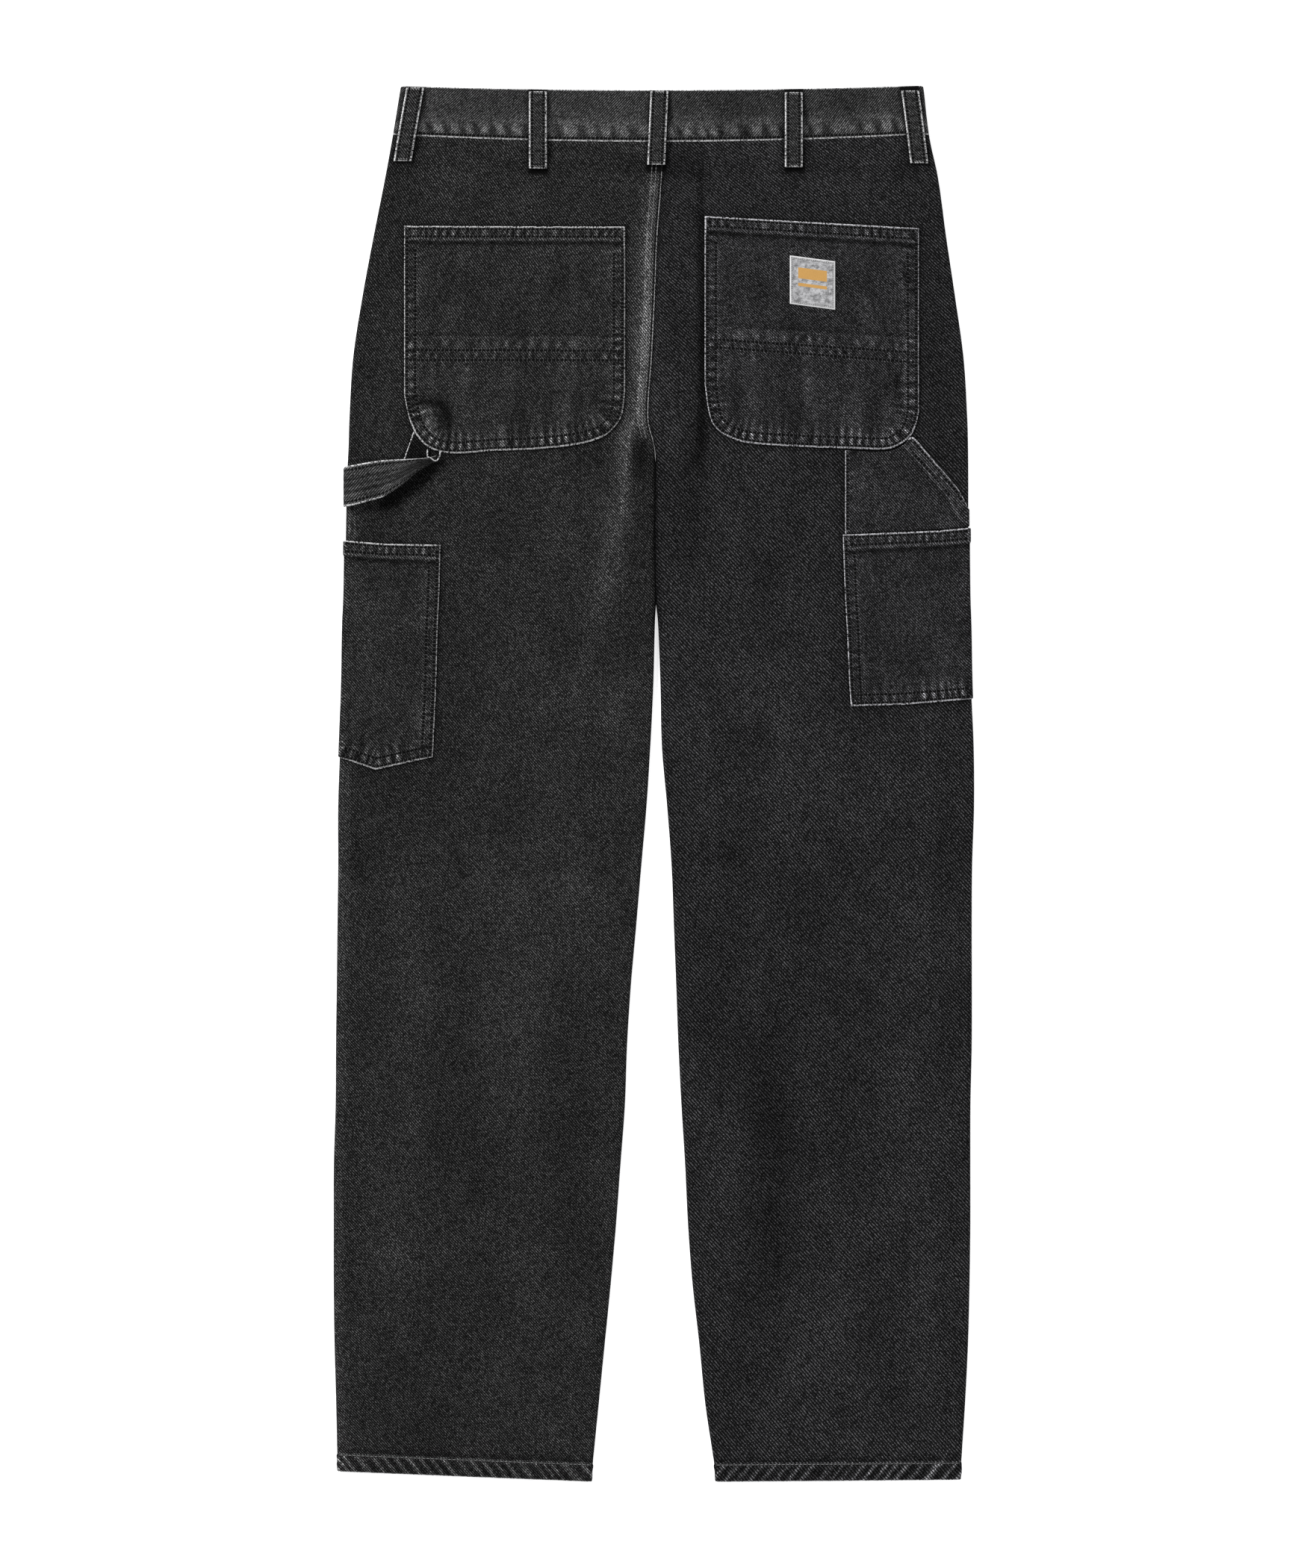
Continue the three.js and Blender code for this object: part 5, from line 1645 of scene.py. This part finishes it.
def ribbon(name, surface_parts, rows, width, thickness, material, wear_and_shade_of, edge_of, row_insets=()):
    """A closed strip. Its parts are place(s, t), which gives the lower face for s along and t
    across with its upward direction, and lift_of(s, t), which raises the upper face."""
    place, lift_of = surface_parts
    radius = thickness / 2
    flat = np.linspace(radius, width - radius, 13)
    turns = np.radians([40, 90, 140])
    ring = [
        # across, height, on the upper face
        *((t, thickness, True) for t in flat),
        *((width - radius + radius * math.sin(a), radius + radius * math.cos(a), False) for a in turns),
        *((t, 0.0, False) for t in flat[::-4]),
        *((radius - radius * math.sin(a), radius + radius * math.cos(a), False) for a in turns[::-1])]
    t_values, heights, on_top = (np.array(column) for column in zip(*ring))
    s, t = np.meshgrid(rows, t_values, indexing="ij")
    base, up = place(s, t)
    height = heights[None] + np.where(on_top[None], lift_of(s, t), 0)
    points = base + up * height[..., None]
    row = np.stack([0 * s, 99 + 0 * s], -1)
    if row_insets:
        run = rows[-1] - 2 * loop_row_start
        row[..., 0] = (s - loop_row_start) / run * round(run / loop_stitch_pitch)
        gaps = np.stack([np.abs(t - at) for at in row_insets]).min(0)
        row[..., 1] = np.where(on_top[None], gaps, 99)
    return make_object(
        name, points.reshape(-1, 3), closed_faces(*s.shape), material, np.stack([t, s], -1).reshape(-1, 2),
        wear_and_shade_of(s, t).ravel(), edge_of(s, t).ravel(), row.reshape(-1, 2))


def upper_face(surface_parts, thickness):
    """A ribbon's upper face as its stitches need it: places from across and along."""
    place, lift_of = surface_parts

    def surface(places):
        t, s = places.T
        base, up = place(s, t)
        return base + up * (thickness + lift_of(s, t))[:, None], up
    return surface


def nothing(s, t):
    return 0 * s


# %% Make the belt loops
loop_rows = (2.6, loop_width - 2.6)
arch = np.array([
    # share of the length, clear of the band, share of the seat's height
    (0, 0.3, 0), (0.07, 0.3, 0), (0.16, 1.6, 0), (0.3, 2.5, 0), (0.5, 2.7, 0), (0.7, 2.2, 0),
    (0.82, 1.0, 0), (0.92, -0.4, 1), (1, -0.4, 1)])


def place_in_frame(x, y, z):
    upward = np.broadcast_to([0.0, 0.0, 1.0], x.shape + (3,))
    return np.stack([x + shift_x, y + shift_y, z], -1), upward


def loop_edge(s, t):
    return np.minimum(np.abs(t - 0.4), np.abs(loop_width - t - 0.4))


def belt_loop(number, place_name, x_top, x_bottom, top, bottom, seat):
    """One belt loop, its thread and its length."""
    length = bottom - top

    def place(s, t):
        share = s / length
        clear = read_table(arch[:, 0], arch[:, 1], share) + read_table(arch[:, 0], arch[:, 2], share) * seat
        x = mix(x_top, x_bottom, share) + t - loop_width / 2
        return place_in_frame(x, garment_length / 2 - top - s, band_back + clear)

    def lift_of(s, t):
        rows_in = sum(ridge(t - at, 0.8) for at in loop_rows)
        swell = 0.12 * np.sin(np.clip(t / loop_width, 0, 1) * math.pi)
        return swell - 0.22 * rows_in + 0.08 * puckers(s + 90 * number, 6, 4) - 0.12

    def wear_and_shade_of(s, t):
        ends = ridge(s - 0.5, 1.6) + ridge(s - length + 0.5, 1.6)
        middle = ridge(t - loop_width / 2, 3.0)
        drawn = puckers(s + 90 * number, 6, 4) * ridge(t - loop_width / 2, 5)
        return 0.9 * ends + 0.15 * middle + 0.45 * drawn - 0.05

    def edge_of(s, t):
        return np.minimum(loop_edge(s, t), np.minimum(s, length - s) + 0.2)

    thing = ribbon(
        f"belt_loop_{place_name}", (place, lift_of), np.linspace(0, length, 48), loop_width, loop_wall,
        denim_loop, wear_and_shade_of, edge_of, loop_rows)
    surface = upper_face((place, lift_of), loop_wall)
    rows = [(surface, straight((x, loop_row_start), (x, length - loop_row_start))) for x in loop_rows]
    tacks = [(surface, straight((1.2, at), (loop_width - 1.2, at), 2)) for at in (2.6, length - 3.0)]
    return thing, thread_piece(
        f"thread_loop_{place_name}", rows + tacks, black_thread, pitch=loop_stitch_pitch)


loops = {}
for number, facts in enumerate(back_loops):
    loops[facts[0]] = belt_loop(number, *facts)

# %% Make the hammer loop
strap = np.array([
    # x, height of the lower face, near edge, far edge
    (-170.5, 5.9, 289.4, 294.4), (-174.6, 7.6, 290.6, 296.0), (-179.0, 9.7, 291.4, 298.6),
    (-185.0, 11.4, 291.9, 302.6), (-195.1, 12.4, 292.5, 311.2), (-209.7, 12.6, 293.1, 321.2),
    (-222.9, 12.2, 294.8, 325.3), (-231.8, 10.9, 296.4, 327.8), (-237.6, 8.8, 297.4, 329.0),
    (-240.5, 6.0, 298.2, 329.4), (-241.3, 2.6, 299.0, 329.6)])
strap_wall = 1.9
strap_lengths = np.r_[0, np.cumsum(np.linalg.norm(np.diff(strap[:, :2], axis=0), axis=1))]
strap_width = 30.0
strap_rows = (3.2, 26.8)


def strap_line(at):
    return read_table(strap_lengths, strap[:, 0], at), read_table(strap_lengths, strap[:, 1], at)


def strap_place(s, t):
    """s runs along the strap from the pocket to the outseam and t across from its near edge."""
    x, z = strap_line(s)
    ahead_x, ahead_z = strap_line(np.minimum(s + 0.5, strap_lengths[-1]))
    behind_x, behind_z = strap_line(np.maximum(s - 0.5, 0))
    run = np.hypot(ahead_x - behind_x, ahead_z - behind_z)
    up = np.stack([(ahead_z - behind_z) / run, np.zeros_like(run), (behind_x - ahead_x) / run], -1)
    near, far = read_table(strap_lengths, strap[:, 2], s), read_table(strap_lengths, strap[:, 3], s)
    y = garment_length / 2 - mix(near, far, t / strap_width)
    return np.stack([x + shift_x, y + shift_y, z], -1), up


def strap_lift(s, t):
    rows_in = sum(ridge(t - at, 0.9) for at in (3.2, 11.0, 19.0, 26.8))
    return -0.18 * rows_in + 0.10 * puckers(s, 8, 5) * ridge(t - 15, 12)


def strap_wear_and_shade(s, t):
    dark_lines = sum(ridge(t - at, 1.1) for at in (9.6, 14.4, 19.2))
    pale_lines = sum(ridge(t - at, 1.2) for at in (7.4, 12.0, 16.8, 22.0))
    # Painted shade where the strap's end goes under the pocket.
    shade_under_pocket = ridge(s, 16) * smooth(t / 8)
    return 0.55 * pale_lines - 0.8 * dark_lines + 0.30 * hills(s, t, 7, 6) - 0.9 * shade_under_pocket


def strap_edge(s, t):
    far_side = np.abs(strap_width - t - 0.4) + 4 * (1 - smooth((s - 30) / 14))
    return np.minimum(np.abs(t - 0.4), far_side)


strap_length = strap_lengths[-1]
strap_steps = np.linspace(0, strap_length, 80)
hammer_loop = ribbon(
    "hammer_loop_strap", (strap_place, strap_lift), strap_steps, strap_width, strap_wall,
    denim_strap, strap_wear_and_shade, strap_edge, strap_rows)
strap_face = upper_face((strap_place, strap_lift), strap_wall)
strap_paths = [straight((at, loop_row_start), (at, strap_length - loop_row_start)) for at in strap_rows]
strap_stitches = [(strap_face, path) for path in strap_paths]
strap_thread = thread_piece("thread_hammer_loop", strap_stitches, black_thread, pitch=loop_stitch_pitch)

# %% [markdown]
# ## The strap's end at the pocket
# Where the strap goes under the pocket its folded edges show as two small rolls, with a flat end of cloth
# under them that is painted dark as shade. A short tube along each fold is enough for the rolls.

# %% Make the strap's end
def piping(name, paths, radius, material):
    """Folded edges of cloth that show as thin rolls, each along a path of x, down and height."""
    all_points, all_faces, start, sides = [], [], 0, 8
    for path in paths:
        path = resample(path, 0.6)
        centre = np.stack([path[:, 0] + shift_x, garment_length / 2 - path[:, 1] + shift_y, path[:, 2]], -1)
        heading = np.gradient(centre, axis=0)
        heading /= np.linalg.norm(heading, axis=1, keepdims=True)
        side = np.cross(heading, [0.0, 0.0, 1.0])
        side /= np.linalg.norm(side, axis=1, keepdims=True)
        up = np.cross(side, heading)
        from_ends = np.minimum(np.arange(len(path)), np.arange(len(path))[::-1])
        thick = radius * np.clip(from_ends / 2 + 0.3, 0.3, 1)[:, None]
        turns = np.arange(sides) * 2 * math.pi / sides
        ring = [centre + (side * math.cos(a) + up * math.sin(a)) * thick for a in turns]
        all_points.append(np.stack(ring, 1).reshape(-1, 3))
        all_faces.append(grid_faces(len(path), sides, closed=True) + start)
        start += len(path) * sides
    points = np.vstack(all_points)
    return make_object(name, points, np.vstack(all_faces), material, points[:, :2], 0.3, 0.25)


tail_folds = piping("strap_tail_folds", [
    [(-177.5, 290.3, 9.6), (-174.5, 291.4, 9.3), (-171.5, 293.6, 8.9), (-169.2, 293.2, 8.6),
     (-167.6, 290.0, 8.3), (-167.0, 285.6, 8.0)],
    [(-177.0, 284.4, 7.6), (-177.2, 287.0, 7.7), (-177.2, 290.0, 8.0)]], 0.55, denim_strap)
stub_border = on_cloth(left, np.array([
    (-188.2, 270.5), (-195.8, 292.2), (-177.0, 291.0), (-174.5, 285.0), (-181.0, 279.4)]))
stub_line = straight(stub_border[0] + (4, 6), stub_border[2] - (4, 2), 1.5)
stub_edge = straight(stub_border[0], stub_border[1], 1.4)
# The stub is painted dark as shade under the strap's folds.
strap_stub, _, _ = patch(
    "strap_stub", left, stub_border, [], [stub_line],
    lambda spots: np.full(len(spots), 0.7), lambda spots: np.full(len(spots), -1.0), stub_edge, denim_left)
print("the strap's end has", len(tail_folds.data.vertices), "points")

# %% [markdown]
# ## Belt loops of the front
# Two more loops lie under the trousers. They are flat, because the garment rests on them.

# %% Make the front belt loops
front_loop_length = 59


def front_loop(place_name, x_middle):
    def place(s, t):
        x = x_middle + t - loop_width / 2
        return place_in_frame(x, garment_length / 2 - 3.0 - s, np.zeros_like(x))
    return ribbon(
        f"loop_underneath_{place_name}", (place, nothing), np.linspace(0, front_loop_length, 16), loop_width,
        loop_wall, denim_loop, nothing, loop_edge)


front_loops = {place_name: front_loop(place_name, x) for place_name, x in (("left", -104), ("right", 116))}
print("front belt loops:", len(front_loops))

# %% [markdown]
# ## Label
# A small square of pale woven cloth is sewn on the right back pocket with a white border.
# Two plain ochre bars are woven into it. Crinkles from the wash are painted as thin lines of shade, and a
# row of white stitches runs in a ditch, painted dark as shade, inside its rough white rim.


# %% Label cloth
label_width, label_length, label_wall = 35.5, 37.9, 0.9
label_row_inset = 1.7


def between(tree, value, low, high):
    above = calculate(tree, "GREATER_THAN", value, low)
    return calculate(tree, "MULTIPLY", above, calculate(tree, "LESS_THAN", value, high))


def label_cloth():
    material, tree, shader = new_material("label_cloth")
    weave = read_attribute(tree, "weave", "Vector")
    split = tree.nodes.new("ShaderNodeSeparateXYZ")
    tree.links.new(weave, split.inputs[0])
    u, v = split.outputs["X"], split.outputs["Y"]
    rib_u = calculate(tree, "SINE", calculate(tree, "MULTIPLY", u, 2 * math.pi / 0.45))
    rib_v = calculate(tree, "SINE", calculate(tree, "MULTIPLY", v, 2 * math.pi / 0.5))
    ribs = calculate(tree, "MULTIPLY", rib_u, rib_v)
    clouds = cloudy(tree, weave, (0.22, 0.22, 0), 3)
    # Painted shade: thin dark lines where the wash crinkled the label.
    crease_shade = calculate(tree, "ABSOLUTE", cloudy(tree, weave, (0.20, 0.28, 0), 2))
    crease_shade = calculate(tree, "SUBTRACT", 1.0, calculate(tree, "MULTIPLY", crease_shade, 6.0), clamp=True)
    level = calculate(tree, "MULTIPLY_ADD", clouds, 0.85, 0.60)
    level = calculate(tree, "MULTIPLY_ADD", crease_shade, -0.50, level)
    level = calculate(tree, "MULTIPLY_ADD", ribs, 0.18, level, clamp=True)
    from_side = calculate(tree, "MINIMUM", u, calculate(tree, "SUBTRACT", label_width, u))
    from_end = calculate(tree, "MINIMUM", v, calculate(tree, "SUBTRACT", label_length, v))
    from_border = calculate(tree, "MINIMUM", from_side, from_end)
    # Painted shade in the ditch of the stitch row.
    ditch_shade = slice_of(tree, from_border, label_row_inset, 0.9)
    rim = calculate(tree, "SUBTRACT", 1.3, from_border, clamp=True)
    cloth = blend_colour(tree, level, grey(0.12, (1, 1, 1.02)), grey(0.47, (1, 1, 1.02)))
    cloth = blend_colour(tree, calculate(tree, "MULTIPLY", ditch_shade, 0.85), cloth, grey(0.05))
    cloth = blend_colour(tree, rim, cloth, grey(0.72))
    either_bar = calculate(tree, "MAXIMUM", between(tree, v, 8.5, 17.0), between(tree, v, 20.5, 23.0))
    bars = calculate(tree, "MULTIPLY", either_bar, between(tree, u, 6.5, 29.0))
    ochre_level = calculate(tree, "MULTIPLY_ADD", ribs, 0.3, 0.5)
    ochre = blend_colour(tree, ochre_level, (0.36, 0.19, 0.045, 1), (0.56, 0.31, 0.08, 1))
    tree.links.new(blend_colour(tree, bars, cloth, ochre), shader.inputs["Base Color"])
    raise_bumps(tree, shader, ribs, 0.4, 0.0001)
    shader.inputs["Roughness"].default_value = 0.8
    shader.inputs["Sheen Weight"].default_value = 0.1
    return material


# %% Make the label
label_left_x, label_top_left, label_top_right = 106.4, 132.8, 137.5


def label_surface(places):
    u, v = places[:, 0], places[:, 1]
    x = label_left_x + u
    down = mix(label_top_left, label_top_right, u / label_width) + v
    across = across_at(right, down, x)
    border = np.minimum(np.minimum(u, label_width - u), np.minimum(v, label_length - v))
    rolled = rolled_edge(border, 0.6)
    swell = 0.10 * hills(u, v, 9, 3) - 0.15 * ridge(border - 2.0, 0.6)
    pocket_waves = 0.1 * hills(across, down, 15, 7) + 0.16 * hills(across, down, 38, 8)
    under = relief(right, down, across) + pocket_gap + wall + pocket_waves
    return on_panel(right, "back", down, across, under + 0.1 + (label_wall + swell) * rolled)


def label_steps(size, count):
    """Close together at both ends, where the edge is pressed under."""
    return np.r_[0, 0.2, 0.6, np.linspace(1.2, size - 1.2, count), size - 0.6, size - 0.2, size]


label_u, label_v = label_steps(label_width, 40), label_steps(label_length, 42)
label_places = np.stack([part.ravel() for part in np.meshgrid(label_u, label_v)], -1)
label_faces = grid_faces(len(label_v), len(label_u))
label = make_object(
    "woven_label", label_surface(label_places)[0], label_faces, label_cloth(), label_places, 0, 99)
white_thread = thread_material("white_thread", 0.5)
low, right_end, bottom_end = label_row_inset, label_width - label_row_inset, label_length - label_row_inset
corners = [(low, low), (right_end, low), (right_end, bottom_end), (low, bottom_end), (low, low)]
label_rows = [(label_surface, straight(a, b)) for a, b in zip(corners, corners[1:])]
label_thread = thread_piece(
    "thread_label", label_rows, white_thread, pitch=1.7, radius=0.22, length=1.5)

# %% [markdown]
# ## Button
# A trouser button is a stamped metal disc with a raised rim and a dished middle. Turning
# a short profile round its axis gives exactly that.


# %% Make the button
def metal_material():
    material, tree, shader = new_material("brushed_button_metal")
    place = tree.nodes.new("ShaderNodeTexCoord").outputs["Object"]
    scratches = cloudy(tree, place, (900, 4000, 900), 3)
    level = calculate(tree, "MULTIPLY_ADD", scratches, 0.3, 0.5, clamp=True)
    colour = blend_colour(tree, level, (0.12, 0.11, 0.10, 1), (0.34, 0.31, 0.28, 1))
    tree.links.new(colour, shader.inputs["Base Color"])
    shader.inputs["Metallic"].default_value = 0.9
    shader.inputs["Roughness"].default_value = 0.38
    return material


# radius and height of each corner
profile = [(0, 0.75), (3.2, 0.7), (4.0, 0.45), (5.4, 0.5), (6.3, 0.25), (7.2, 0.02), (8.0, 0.05),
           (8.45, 0.45), (8.5, 1.0), (8.1, 1.7), (7.2, 2.0), (0, 2.0)]
button_sides = 64
turns = np.linspace(0, 2 * math.pi, button_sides, endpoint=False)
button_points = np.array([
    (button_x + shift_x + r * math.cos(a), garment_length / 2 - button_down + shift_y + r * math.sin(a), z)
    for r, z in profile for a in turns])
button_faces = grid_faces(len(profile), button_sides, closed=True, flip=True)
button = make_object(
    "trouser_button", button_points, button_faces, metal_material(), button_points[:, :2], 0, 99)
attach(button, "root")
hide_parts("waist_button")
print("button points:", len(button_points))

# %% [markdown]
# ## Sewing it together
# Every piece now takes its place in the frame, hides the plain solid it stands for and prints its mesh area
# beside the area it was cut to.

# %% Put the pieces in the frame
panel_cut = ((0.27, 1.10), 0.262)
seam_threads = {"left": [seam_thread, pale_seam_thread], "right": []}
for side in ("left", "right"):
    threads = seam_threads[side] + [hem_threads[side]]
    sew_in(back_panels[side], f"back_panel_{side}", f"front_leg_{side}", *panel_cut, threads)
for side in ("left", "right"):
    sew_in(front_panels[side], f"front_panel_{side}", "floor", *panel_cut)
sew_in(waistband, "waistband", "seat_and_leg_left", (0.84, 0.040), 0.0336, [band_thread])
sewn_on = [
    # piece, its solid, the cloth under it, flat size, cut area, thread
    (pocket_left, "back_pocket_left", "left", (0.174, 0.180), pocket_left_area, pocket_left_thread),
    (pocket_right, "back_pocket_right", "right", (0.172, 0.185), pocket_right_area, pocket_right_thread),
    (utility, "utility_pocket", "left", (0.0765, 0.180), utility_area, utility_thread),
    (tool_lower, "tool_pocket_lower", "right", (0.100, 0.142), tool_lower_area, tool_lower_thread),
    (tool_upper, "tool_pocket_upper", "right", (0.100, 0.076), tool_upper_area, tool_upper_thread)]
for thing, node, side, flat, area, thread in sewn_on:
    sew_in(thing, node, f"seat_and_leg_{side}", flat, area, [thread])
sew_in(label, "label", "patch_pocket_right", (0.0355, 0.0379), 0.00134, [label_thread], "label_cloth")
strap_pieces = [strap_thread, tail_folds, strap_stub]
sew_in(hammer_loop, "hammer_loop", "seat_and_leg_left", (0.031, 0.090), 0.0022, strap_pieces)
for place_name, (thing, thread) in loops.items():
    sew_in(thing, f"belt_loop_back_{place_name}", "waistband_strip", (0.014, 0.062), 0.00086, [thread])
for place_name, thing in front_loops.items():
    sew_in(thing, f"belt_loop_front_{place_name}", "floor", (0.014, 0.059), 0.00082)

# %% Count the triangles and finish
meshes = [thing.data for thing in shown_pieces() if thing.type == "MESH"]
total = sum(len(face.vertices) - 2 for mesh in meshes for face in mesh.polygons)
print("triangles in all:", total)
